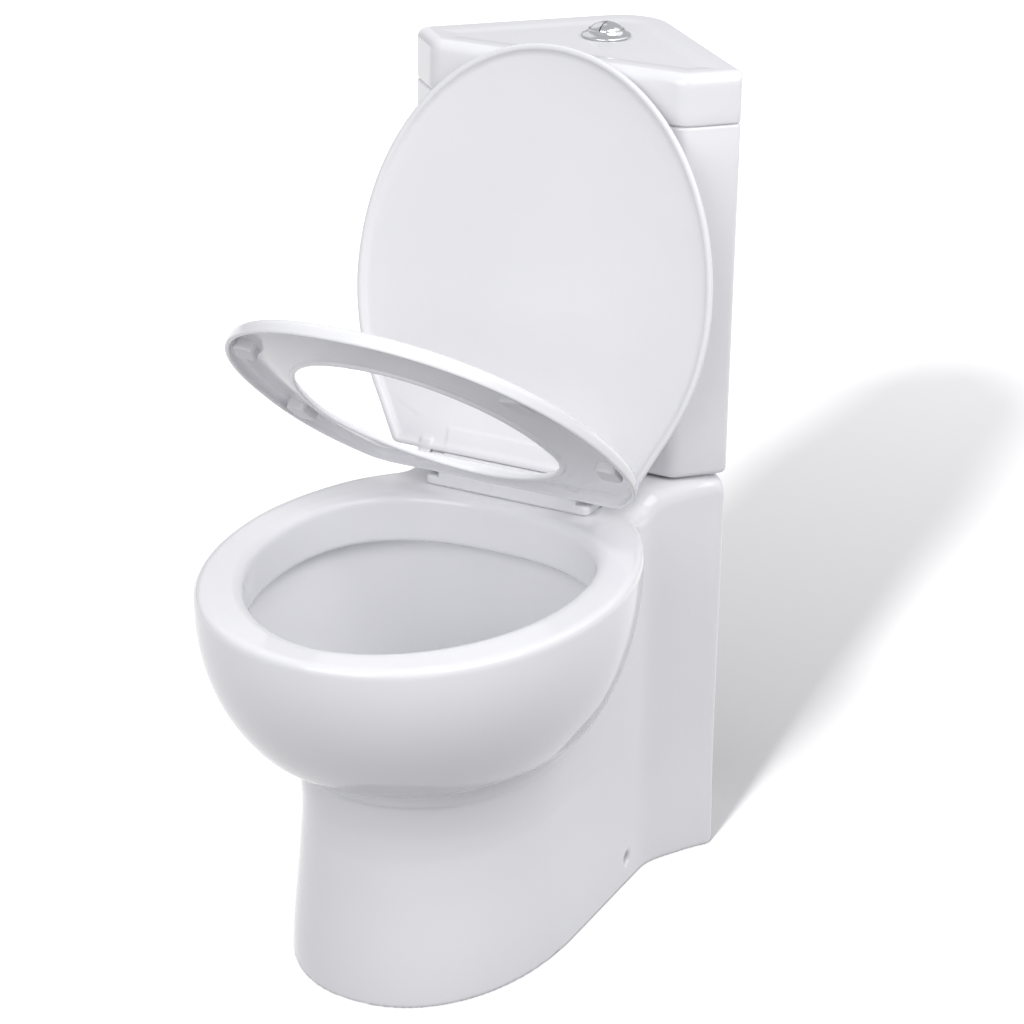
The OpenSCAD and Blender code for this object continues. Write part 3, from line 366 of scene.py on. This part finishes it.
VALVE_BLUE = moulded("valve_blue", (0.05, 0.16, 0.46), (0.035, 0.12, 0.38), (0.35, 0.5))

# CAD nodes that stay as they are and get a finish
DRESS = {
    "seat_bushes": VALVE_GREY, "cover_bushes": VALVE_GREY,
    "hinge_pins": ZINC, "seat_studs": ZINC, "seat_stud_washers": RUBBER, "seat_stud_nuts": VALVE_WHITE,
    "button_back_nut": VALVE_WHITE, "half_flush_rod": VALVE_WHITE, "full_flush_rod": VALVE_WHITE,
    "flush_valve_base": VALVE_WHITE,
    "flush_valve_tower": VALVE_BLUE, "flush_valve_washer": RUBBER, "flush_valve_back_nut": VALVE_WHITE,
    "overflow_tube": VALVE_GREY, "flush_seal": RUBBER, "coupling_gasket": RUBBER, "coupling_bolts": BRASS,
    "bolt_rubber_washers": RUBBER, "bolt_steel_washers": ZINC, "coupling_wing_nuts": BRASS,
    "fill_valve_column": VALVE_WHITE, "fill_valve_washer": RUBBER, "fill_valve_back_nut": VALVE_WHITE,
    "fill_valve_head": VALVE_GREY, "float_cup": VALVE_BLUE, "float_rod": BRASS, "float_lever": VALVE_GREY,
    "lever_pin": ZINC,
}
for node, material in DRESS.items():
    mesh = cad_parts[node].data
    mesh.materials.clear()
    mesh.materials.append(material)


# ---------------------------------------------------------------- pan
def wing_field(x, y, z):
    """The wide block in the corner, under the tank."""
    back = soft_max((x + y) * HALF, (y - x) * HALF, 18)
    facet = (np.abs(x) - y) * HALF - TANK_WING - 4 * (1 - ease(0, PLAN_Z, z))
    return soft_max(soft_max(back, facet, 12), -TANK_FRONT - y, 12)


def foot_field(x, y, z):
    """The pedestal: an oval front that narrows upwards and flares a little at the floor."""
    d = 7 * np.minimum(1, z.clip(0) / PLAN_Z) ** 1.6 * (1 - ease(-422, -247, y))
    d = d - 3.2 * (1 - ease(0, 110, z))
    return np.maximum(oval_ray(x, np.minimum(0, y + 402), 125.5 - d, 189 - d, 2.15), y + 170)


def dome_field(x, y, z):
    """The bowl's outside: ovals that shrink and move back on the way down."""
    drop = np.clip((372 - z) / 222, 0, 1)
    k = np.maximum((1 - drop ** 2.05), 0) ** (1 / 2.05)
    mid = -(382 + 73 * k)
    reach = np.where(y < mid, 237.99, 247.0)
    power = np.where(y < mid, 2.09, 1.85)
    least = 0.02  # below this share of its full size the oval is left out
    kk = np.maximum(k, least)
    return np.where(k < least, 1000, oval_ray(x, y - mid, 188.8 * kk, reach * kk, power))


def pan_skin(x, y, z):
    """The pan's outside, without its flat top and bottom."""
    foot, dome = foot_field(x, y, z), dome_field(x, y, z)
    # a low collar follows the dome around the pedestal and dies out towards the back
    proud = 0.4 * ease(-325, -380, y) + 0.6 * ease(-450, -570, y)
    foot = foot - 2.4 * proud * (1 - ease(0, 80, dome)) * (dome > -40)
    collar = round_max(dome, foot - 3.2 * proud, 1.5)
    dome = round_max(dome, 219 - 14 * ease(-470, -385, y) - 90 * ease(-400, -325, y) - z, 24)
    body = soft_min(soft_min(wing_field(x, y, z), foot, 52), collar, 1.5)
    return soft_min(body, dome, 3 + 5 * ease(-480, -300, y))


def top_z(y):
    """Height of the rim, rising to the deck under the tank."""
    return RIM_Z + (DECK_Z - RIM_Z) * ease(-259, -228, y)


def opening(x, y):
    """The bowl's opening inside the rim."""
    return egg(x, y + 462, 149, 193, 143, 1.9, 2.5)


def basin(x, y, z):
    """The inside of the bowl below the rim, down to the sump."""
    t = np.clip((z - SUMP_Z) / 235, 0, 1) ** 0.92
    wide = 12 * ease(339, 352, z)  # room behind the rim's curtain
    a, front, rear = (SUMP_R + grow * t + wide for grow in (120, 164, 114))
    side = egg(x, y - (SUMP_Y - 117 * t), a, front, rear, 2 - 0.1 * t, 2 + 0.5 * t)
    bottom = np.sqrt(x * x + (y - SUMP_Y) ** 2 + ((z - SUMP_Z) / 0.9) ** 2) - SUMP_R
    return np.where(z < SUMP_Z, bottom, side)


def pan(x, y, z):
    """The whole pan with its bowl, waterways, hollow back and holes."""
    ax = np.abs(x)
    body = round_max(pan_skin(x, y, z), z - top_z(y), 7 + 10 * ease(-330, -250, y))
    body = round_max(body, -z, 2)
    # the open space behind and below, with what stands in it
    plan = pan_skin(x, y, np.full_like(z, PLAN_Z)) + WALL
    behind = np.maximum(plan, -255 - y)
    hollow = np.minimum(round_max(plan, z - 150, 6), round_max(behind, z - top_z(y) + WALL, 6))
    hollow = np.minimum(hollow, np.maximum(np.maximum(ax - 95, -125 - y), z - 319))
    body = round_max(body, -hollow, 2.5)
    duct = np.maximum(np.maximum(ax - 42, slab(y, -257, -FLUSH_Y)), slab(z, 330, 380))
    boss = np.maximum(tube(x, y + FLUSH_Y, 63), slab(z, 330, 394))
    well = np.maximum(tube(x, y + 372, 74 + (z - 20).clip(0) * 0.19), slab(z, 20, 152))

    def pipe(r):
        legs = [capsule(x, y, z, OUTLET[i], OUTLET[i + 1], r) for i in range(3)]
        return np.minimum(np.minimum(legs[0], legs[1]), legs[2])

    spigot = round_max(pipe(SPIGOT_R), y + 118, 2.5)
    body = soft_min(np.minimum(np.minimum(duct, boss), well), body, 6)
    body = soft_min(body, spigot, 6)
    # waterways, rim channel and holes
    shore = opening(x, y)
    curtain = round_max(round_max(-shore, shore - 10, 4.5), 337 - z, 4.5)
    cavity = round_max(round_max(basin(x, y, z), z - 368, 6), shore - 25, 6)
    cavity = np.maximum(cavity, -np.maximum(curtain, z - 380))
    lip = 8  # radius of the rim's inner edge
    flare = lip - np.sqrt(lip ** 2 - (z - RIM_Z + lip).clip(0, lip) ** 2)
    throat = np.maximum(shore - flare, 330 - z)
    cavity = np.minimum(cavity, throat)
    inlet = np.minimum(np.maximum(tube(x, y + FLUSH_Y, 34), CHANNEL_Z[0] - z),
                       np.maximum(tube(x, y + FLUSH_Y, 52), 382 - z))
    feed = np.maximum(np.maximum(ax - 30, slab(y, -306, -FLUSH_Y)), slab(z, *CHANNEL_Z))
    water = np.minimum(np.minimum(inlet, feed), pipe(OUTLET_R))
    bolt = np.maximum(tube(ax - BOLT_X, y - BOLT_Y, 5.5), 370 - z)
    tail = np.maximum(tube(x - TAIL_X, y - TAIL_Y, 20), 370 - z)
    stud = np.maximum(tube(ax - STUD_X, y - STUD_Y, 6), 360 - z)
    slot = np.maximum(np.abs(ax - STUD_X) - 17, slab(y, STUD_Y, STUD_Y + 17))
    pocket = np.maximum(np.minimum(tube(ax - STUD_X, y - STUD_Y, 17), slot), slab(z, 295, 371))
    bore_z = z - FIXING_Z - (ax - FIXING_X) * math.tan(FIXING_LEAN)
    fixing = np.maximum(tube(y - FIXING_Y, bore_z, 6), 100 - ax)
    holes = np.minimum(np.minimum(np.minimum(bolt, tail), np.minimum(stud, pocket)), fixing)
    body = round_max(body, -water, 2)
    body = round_max(body, -holes, 1.5)
    return round_max(body, -cavity, 4)


# ---------------------------------------------------------------- cistern and lid
def five_round(wing, front, gap, radius, apex):
    """Rounded plan of the cistern and lid: five sides, anticlockwise from the front, with the
    two back sides at a gap from the walls."""
    w, g = wing / HALF, gap / HALF
    c = np.array([[-(w - front), -front], [w - front, -front], [(w - g) / 2, -(w + g) / 2], [0, -g],
                  [-(w - g) / 2, -(w + g) / 2]])
    radii = np.array([1.7 * radius, 1.7 * radius, 0.5 * radius, apex, 0.5 * radius])
    points = []
    for i in range(5):
        p, q, r = c[i - 1], c[i], c[(i + 1) % 5]
        a, b = (p - q) / np.linalg.norm(p - q), (r - q) / np.linalg.norm(r - q)
        turn = math.acos(a @ b) / 2
        mid = (a + b) / np.linalg.norm(a + b)
        centre = q + mid * radii[i] / math.sin(turn)
        start = q + a * radii[i] / math.tan(turn) - centre
        end = q + b * radii[i] / math.tan(turn) - centre
        for k in range(CORNER_STEPS + 1):
            v = start + (end - start) * k / CORNER_STEPS
            points.append(centre + v * radii[i] / np.linalg.norm(v))
    return points


def plan_ring(wing, front, inset, radius, z, back=None, back_z=None):
    """One ring: rounded corners with extra points along the straight sides. The two sides on
    the walls may have an inset and a height of their own."""
    own = inset if back is None else back
    corners = five_round(wing - inset, front - inset, own, max(3.0, radius - inset), APEX_R - own)
    per = CORNER_STEPS + 1
    turn = np.linspace(0, 1, per)
    # how far each point belongs to the sides on the walls: the ring meets them at corners 2 to 4
    corner_share = (turn * 0, turn * 0, turn, turn * 0 + 1, 1 - turn)
    side_share = (0.0, 0.0, 1.0, 1.0, 0.0)
    ring, share = [], []
    for i in range(5):
        ring += corners[i * per:(i + 1) * per]
        a, b = corners[(i + 1) * per - 1], corners[(i + 1) * per % (5 * per)]
        ring += [a + (b - a) * k / (SIDE_POINTS + 1) for k in range(1, SIDE_POINTS + 1)]
        share += list(corner_share[i]) + [side_share[i]] * SIDE_POINTS
    low = z if back_z is None else back_z
    return np.array([[q[0], q[1], z + (low - z) * k] for q, k in zip(ring, share)])


def cistern_rings():
    """The tank from the middle of its underside, up the outside and down the inside to its floor."""
    def ring(inset, z):
        return plan_ring(TANK_WING, TANK_FRONT, inset, 12, z)

    rings = [ring(9, TANK_Z)]
    rings += [ring(6 * (1 - math.sin(a)), TANK_Z + 6 * (1 - math.cos(a)))
              for a in np.radians([0, 22, 45, 68, 90])]
    rings += [ring(0, z) for z in (430, 520, 620, 700, SEAM_Z - 3)]
    rings += [ring(3 * (1 - math.cos(a)), SEAM_Z - 3 + 3 * math.sin(a)) for a in np.radians([30, 60, 90])]
    rings += [ring(7, SEAM_Z), ring(9, SEAM_Z - 1), ring(10, SEAM_Z - 3), ring(10, 600), ring(10, 430),
              ring(13, 417), ring(18, TANK_FLOOR_Z + 0.5), ring(26, TANK_FLOOR_Z)]
    closed = 0.02  # the end rings shrink to this share about the middle
    centre = np.tile([[0.0, -FLUSH_Y, TANK_FLOOR_Z]], (len(rings[0]), 1))
    under = np.tile([[0.0, -FLUSH_Y, TANK_Z]], (len(rings[0]), 1))
    return [under + (rings[0] - under) * closed] + rings + [centre + (rings[-1] - centre) * closed]


def lid_rings():
    """The lid from its lower edge, up and over the dished top, down the button's hole and back
    along the underside."""
    def ring(inset, z, back=None, back_z=None):
        return plan_ring(LID_WING, LID_FRONT, inset, 14, z, back=back, back_z=back_z)

    outside = [ring(9, SEAM_Z + 0.3), ring(2.6, SEAM_Z + 0.2)]
    outside += [ring(2.6 * (1 - math.sin(a)), SEAM_Z + 0.2 + 2.6 * (1 - math.cos(a)))
                for a in np.radians([30, 60, 90])]
    outside += [ring(0, z) for z in (752, 764, 772, LID_Z - 11)]
    outside += [ring(11 * (1 - math.cos(a)), LID_Z - 11 + 11 * math.sin(a), 4 * (1 - math.cos(a)),
                     LID_Z - 4 + 4 * math.sin(a)) for a in np.radians(range(10, 91, 10))]
    outside += [ring(14, LID_Z, 9), ring(17, LID_Z, 15)]
    for k in range(1, 9):
        t = k / 8
        outside.append(ring(17 + 17 * t, LID_Z - LID_DISH * t * t * (3 - 2 * t)))
    last = outside[-1]
    angle = np.arctan2(last[:, 1] + FLUSH_Y, last[:, 0])

    def circle(r, z):
        return np.stack([r * np.cos(angle), r * np.sin(angle) - FLUSH_Y, np.full(len(angle), float(z))], 1)

    near, low = circle(30, BEZEL_Z), circle(30, LID_UNDER_Z)
    outside += [last + (near - last) * t for t in (0.25, 0.5, 0.75)]
    outside += [near, circle(20.8, BEZEL_Z), circle(20, BEZEL_Z - 0.8), circle(20, LID_UNDER_Z + 0.8),
                circle(20.8, LID_UNDER_Z), low]
    wide = ring(25, LID_UNDER_Z)
    inside = [low + (wide - low) * t for t in (0.3, 0.6, 1)]
    inside += [ring(20, LID_UNDER_Z), ring(17, LID_UNDER_Z - 2), ring(16, 766), ring(16, 733), ring(15, 732),
               ring(12, 732), ring(11, 733), ring(11, SEAM_Z)]
    return outside + inside


def lathe(profile, turns=96):
    """The rings of a turned piece on the flush button's axis, from (radius, height) pairs."""
    a = np.linspace(0, 2 * math.pi, turns, endpoint=False)
    return [np.stack([r * np.cos(a), r * np.sin(a) - FLUSH_Y, np.full(turns, float(z))], 1)
            for r, z in profile]


def coil(x, low, high, radius=4.2, turns=5, steps=16):
    """The rings of a spring's wire, closed at both ends."""
    b = np.linspace(0, 2 * math.pi, 8, endpoint=False)
    r = radius + WIRE * np.cos(b)
    rings = [np.stack([x + r * math.cos(a), r * math.sin(a) - FLUSH_Y, z + WIRE * np.sin(b)], 1)
             for a, z in zip(np.linspace(0, 2 * math.pi * turns, steps * turns + 1),
                             np.linspace(low, high, steps * turns + 1))]
    ends = [q.mean(0) + (q - q.mean(0)) * 0.05 for q in (rings[0], rings[-1])]
    return ends[:1] + rings + ends[1:]


# ---------------------------------------------------------------- seat, cover and hinge
def seat_outline(x, y):
    return round_max(egg(x, y - SEAT_MID, 177.75, 227, 196, 2.26, 2.26), y - SEAT_BACK, 10)


def seat_hole(x, y):
    return egg(x, y - SEAT_MID, 117.75, 162, 110, 2.16, 1.8)


def seat_top(edge):
    """The seat's upper face, which dips towards the hole; edge is the distance to its outline."""
    return SEAT_TOP - 11 * ease(8, 62, -edge)


def pads(x, y, z):
    """The four soft pads that stand in the seat's hollow and end inside its shell."""
    top = seat_top(seat_outline(x, y))

    def block(cx, cy, lean):
        c, s = math.cos(math.radians(lean)), math.sin(math.radians(lean))
        u, v = (np.abs(x) - cx) * c - (y - cy) * s, (np.abs(x) - cx) * s + (y - cy) * c
        plan = round_max(np.abs(u) - 10, np.abs(v) - 15, 5)
        return round_max(round_max(plan, PAD_LOW - z, 2.5), z - top + 2, 0.5)
    return np.minimum(block(132, -598, 22), block(156, -430, -4))


def ears(x, y, z, x0, low, high, back):
    """The two hinge ears behind a seat or cover, with the bore for their bushes."""
    side = slab(np.abs(x), x0, x0 + 12)
    eye = tube(y - HINGE_Y, z - HINGE_Z, 9)
    arm = np.maximum(slab(y, back - 10, HINGE_Y), slab(z, low, high))
    ear = round_max(side, np.minimum(eye, arm), 1.5)
    return np.maximum(ear, -tube(y - HINGE_Y, z - HINGE_Z, 6))


def seat(x, y, z):
    """The closed seat: a ring with a hollow underside."""
    edge, hole = seat_outline(x, y), seat_hole(x, y)
    top = seat_top(edge)
    shell = round_max(edge, z - top, 7)
    shell = round_max(shell, -hole, 3)
    low = SEAT_LOW - 3 * (1 - ease(6, 16, hole))
    shell = round_max(shell, low - z, 1.5)
    hollow = round_max(edge + 4, z - top + 3.6, 6)
    hollow = np.maximum(hollow, 5 - hole)
    ring = soft_max(shell, -hollow, 1.5)
    return soft_min(ring, ears(x, y, z, 73, HINGE_Z - 9, SEAT_TOP, SEAT_BACK), 2)


def cover(x, y, z):
    """The closed cover: an egg whose sides run on straight behind COVER_TANGENT_Y, domed and hollow."""
    straight = np.abs(x) * 0.8906 + (y - COVER_TANGENT_Y) * 0.4548 - 139.46  # along its tangent there
    straight = np.maximum(straight, COVER_TANGENT_Y - y)
    edge = soft_min(egg(x, y - SEAT_MID, 182, 228, 211, 2.0, 2.0), straight, 1)
    edge = round_max(edge, y - COVER_BACK, 4)
    dome = 8 * (1 - (1 - np.clip(-edge / 110, 0, 1)) ** 2)
    outer = round_max(edge, z - COVER_TOP - dome, 4)
    outer = round_max(outer, COVER_LOW - z, 1.2)
    land = 1.2 * ease(0, 3, np.minimum(y + 326, 74 - np.abs(x)))  # a raised field between the ears
    inner = round_max(edge + 4, z - COVER_TOP - dome + 4 + land, 7)
    shell = soft_max(outer, -inner, 1.0)
    return soft_min(shell, ears(x, y, z, 87, COVER_LOW, COVER_TOP, -301), 1.5)


def hinge_bar(x, y, z):
    """The bar on the deck: a stepped foot, the barrel and the pins' bore."""
    ax, depth = np.abs(x), slab(y, -301, -260)
    base = round_max(ax - 86, depth, 6)
    base = round_max(base, z - 394.5, 3)
    block = round_max(ax - BAR_HALF, depth, 3)
    block = round_max(block, z - 400.5, 4)
    barrel = round_max(tube(y - HINGE_Y, z - HINGE_Z, 10.1), ax - BAR_HALF, 2)
    bar = soft_min(np.minimum(base, block), barrel, 4)
    bar = bar + 1.6 * (1 - ease(RIM_Z + 1, RIM_Z + 2, z))  # a groove where it stands on the pan
    return np.maximum(np.maximum(bar, RIM_Z - z), -tube(y - HINGE_Y, z - HINGE_Z, 4.05))


# ---------------------------------------------------------------- the pieces
def add_skin(name, field, low, high, step, relax, angle, body, material, nodes):
    """Makes a piece from a field inside a box, turned up about the hinge by an angle."""
    points, quads = skin(field, low, high, step, relax)
    if angle:
        points = raised(points, angle)
    add_piece(name, points, quads, body, material, nodes)


add_skin("pan_glazed", pan, (-193, -698, -4), (193, 2, 400), 3.0, 4, 0,
         "pan_and_cistern", GLAZE, ["pan", "pan_foot"])
add_rings("cistern_glazed", cistern_rings(), False, "pan_and_cistern", GLAZE, ["cistern"])
add_rings("lid_glazed", lid_rings(), True, "lid", GLAZE, ["cistern_lid"])
add_skin("seat_shell", seat, (-181, -698, 383), (181, -278, 417), 1.4, 3, SEAT_ANGLE,
         "seat", SEAT, ["seat_ring"])
add_skin("seat_pads", pads, (-174, -622, 386), (174, -408, 402), 1.3, 2, SEAT_ANGLE,
         "seat", SOFT_WHITE, ["seat_buffers"])
add_skin("cover_shell", cover, (-186, -698, 393), (186, -278, 424), 1.7, 3, COVER_ANGLE,
         "cover", SEAT, ["seat_cover"])
add_skin("hinge_bar_moulded", hinge_bar, (-89, -304, 382), (89, -257, 417), 0.9, 3, 0,
         "pan_and_cistern", BAR, ["hinge_bar"])

# the bezel's radii with heights above the dish: the flared collar, then the thread and the cup
BEZEL = [(15.9, -16.7), (15.9, 6.0), (16.2, 6.6), (16.8, 6.7), (17.4, 6.2), (17.9, 5.2), (18.7, 4.1),
         (20.0, 3.1), (21.6, 2.4), (22.9, 1.7), (23.5, 1.0), (23.6, 0.05), (18.5, 0), (18.5, -26),
         (15.5, -26), (15.5, -19), (5.0, -19), (5.0, -16.7)]
add_rings("bezel_chromed", lathe([(r, BEZEL_Z + h) for r, h in BEZEL]), True,
          "lid", CHROME, ["button_bezel"])

# the split dome of the two buttons: its underside, then its crown
UNDERSIDE = [(0.05, 0.05), (14.6, 0), (15.2, 0.6), (15.5, 3.0)]
CROWN = [(15.5, 4.6), (15.3, 5.6), (14.6, 6.9), (13.2, 8.3), (11.0, 9.7), (8.0, 10.9), (4.5, 11.8),
         (0.05, 12.1)]
dome = [(r, UNDER + h) for r, h in UNDERSIDE] + [(r, BUTTON_LOW + h) for r, h in CROWN]
for side, name in ((-1, "half"), (1, "full")):
    piece = add_rings(name + "_button_chromed", lathe(dome), True,
                      name + "_button", CHROME, [name + "_flush_button"])
    bm = bmesh.new()
    bm.from_mesh(piece.data)
    bmesh.ops.bisect_plane(bm, geom=bm.verts[:] + bm.edges[:] + bm.faces[:], clear_outer=True,
                           plane_co=(side * 0.5 * MM, 0, 0), plane_no=(-side, 0, 0))
    rim = [e for e in bm.edges if e.is_boundary]
    bmesh.ops.holes_fill(bm, edges=rim)
    bm.to_mesh(piece.data)
    bm.free()
    piece.data.polygons.foreach_set("use_smooth", np.ones(len(piece.data.polygons), bool))
    split = piece.modifiers.new("sharp", "EDGE_SPLIT")
    split.split_angle = math.radians(40)
    spring = add_rings(name + "_spring_coiled", coil(side * ROD_X, SPRING_FOOT + WIRE, UNDER - WIRE), False,
                       "lid", ZINC, [name + "_flush_spring"])
    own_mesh(spring)

# ---------------------------------------------------------------- floor, lights and camera
FLOOR = 14  # metres from the middle to an edge
floor_mesh = bpy.data.meshes.new("floor")
floor_mesh.from_pydata([(-FLOOR, -FLOOR, 0), (FLOOR, -FLOOR, 0), (FLOOR, FLOOR, 0), (-FLOOR, FLOOR, 0)],
                       [], [(0, 1, 2, 3)])
floor = bpy.data.objects.new("floor", floor_mesh)
bpy.context.scene.collection.objects.link(floor)
# the camera and the glaze see a white floor that glows more towards the back; other rays see a
# grey one, so that it throws less light up at the object
n = Nodes("studio_floor")
ray = n.add("ShaderNodeLightPath")
seen = n.add("ShaderNodeMath", {0: ray.outputs["Is Camera Ray"], 1: ray.outputs["Is Glossy Ray"]},
             operation="MAXIMUM")
far = n.add("ShaderNodeSeparateXYZ", {"Vector": n.place}).outputs["Y"]
tint = n.add("ShaderNodeMix", {"Factor": seen.outputs[0]}, data_type="RGBA")
tint.inputs["A"].default_value = (0.24, 0.24, 0.245, 1)
tint.inputs["B"].default_value = (0.84, 0.84, 0.84, 1)
lit = n.add("ShaderNodeBsdfDiffuse", {"Color": tint.outputs["Result"]})
strength = n.add("ShaderNodeMath", {0: seen.outputs[0], 1: n.ramp(far, 0.14, 0.45, 0.0, 1.5)},
                 operation="MULTIPLY")
glow = n.add("ShaderNodeEmission", {"Color": (1, 1, 1, 1), "Strength": strength.outputs[0]})
floor_mesh.materials.append(n.finish(n.add("ShaderNodeAddShader", {0: lit.outputs[0], 1: glow.outputs[0]})))

# the background is white for the camera and dimmer as a light
world = bpy.data.worlds.new("studio")
bpy.context.scene.world = world
world.use_nodes = True
tree = world.node_tree
tree.nodes.clear()
path = tree.nodes.new("ShaderNodeLightPath")
level = tree.nodes.new("ShaderNodeMapRange")
tree.links.new(path.outputs["Is Camera Ray"], level.inputs["Value"])
level.inputs["To Min"].default_value = 0.56
level.inputs["To Max"].default_value = 1.04
sky = tree.nodes.new("ShaderNodeBackground")
sky.inputs["Color"].default_value = (0.97, 0.97, 1.0, 1)
tree.links.new(level.outputs["Result"], sky.inputs["Strength"])
tree.links.new(sky.outputs[0], tree.nodes.new("ShaderNodeOutputWorld").inputs["Surface"])


AIM = Vector((0, -0.35, 0.4))  # the softboxes look at this point of the object
LAMP_FAR, LAMP_SIZE = 2.7, 1.8


def softbox(name, azimuth, elevation, power):
    """A square lamp around the object; azimuth 0 is the front and 90 the object's +X side."""
    a, e = math.radians(azimuth), math.radians(elevation)
    lamp = bpy.data.lights.new(name, "AREA")
    lamp.shape = "RECTANGLE"
    lamp.size, lamp.size_y = LAMP_SIZE, LAMP_SIZE
    lamp.energy = power
    ob = bpy.data.objects.new(name, lamp)
    bpy.context.scene.collection.objects.link(ob)
    place = AIM + LAMP_FAR * Vector((math.sin(a) * math.cos(e), -math.cos(a) * math.cos(e), math.sin(e)))
    ob.location = place
    ob.rotation_euler = (AIM - place).to_track_quat("-Z", "Y").to_euler()
    return ob


# the long soft shadow on the floor comes from a low lamp that lights the floor alone
sun = bpy.data.lights.new("shadow_lamp", "SUN")
sun.energy = 4.0
sun.angle = math.radians(7)
key = bpy.data.objects.new("shadow_lamp", sun)
bpy.context.scene.collection.objects.link(key)
heading, height = math.radians(92), math.radians(29)
key.rotation_euler = Vector((math.cos(heading) * math.cos(height), math.sin(heading) * math.cos(height),
                             -math.sin(height))).to_track_quat("-Z", "Y").to_euler()
floor_only = bpy.data.collections.new("floor_only")
floor_only.objects.link(floor)
key.light_linking.receiver_collection = floor_only
# the softboxes light everything but the floor
not_floor = bpy.data.collections.new("not_floor")
not_floor.objects.link(floor)
not_floor.collection_objects[0].light_linking.link_state = "EXCLUDE"
for title, azimuth, elevation, power in (
        ("softbox_front", 0, 35, 21.3), ("softbox_right", 80, 50, 31.3),
        ("softbox_low", 0, 8, 4.7), ("softbox_low_right", 40, 15, 3.1),
        ("softbox_back_right", 130, 40, 6.2), ("softbox_back_left", -130, 40, 3.6)):
    lamp = softbox(title, azimuth, elevation, power)
    lamp.light_linking.receiver_collection = not_floor

# the camera stands where the photograph was taken from; its focal length is in pixels of the frame
FOCAL_PX, FRAME_PX, SENSOR_MM = 2962.1, 1024, 36
camera = bpy.data.cameras.new("camera")
camera.sensor_width = SENSOR_MM
camera.lens = FOCAL_PX / FRAME_PX * SENSOR_MM
camera.clip_start = 0.05
eye = bpy.data.objects.new("camera", camera)
bpy.context.scene.collection.objects.link(eye)
turn, tilt, roll = math.radians(26.91), math.radians(23.1), math.radians(0.8)
back = Vector((math.sin(turn) * math.cos(tilt), -math.cos(turn) * math.cos(tilt), math.sin(tilt)))
side = Vector((math.cos(turn), math.sin(turn), 0))
up = back.cross(side)
right = math.cos(roll) * side + math.sin(roll) * up
over = back.cross(right)
eye.matrix_world = Matrix.Translation((1.1642, -2.5804, 1.4651)) @ Matrix((
    (right.x, over.x, back.x, 0), (right.y, over.y, back.y, 0), (right.z, over.z, back.z, 0), (0, 0, 0, 1)))
bpy.context.scene.camera = eye
bpy.context.scene.view_settings.view_transform = "Standard"
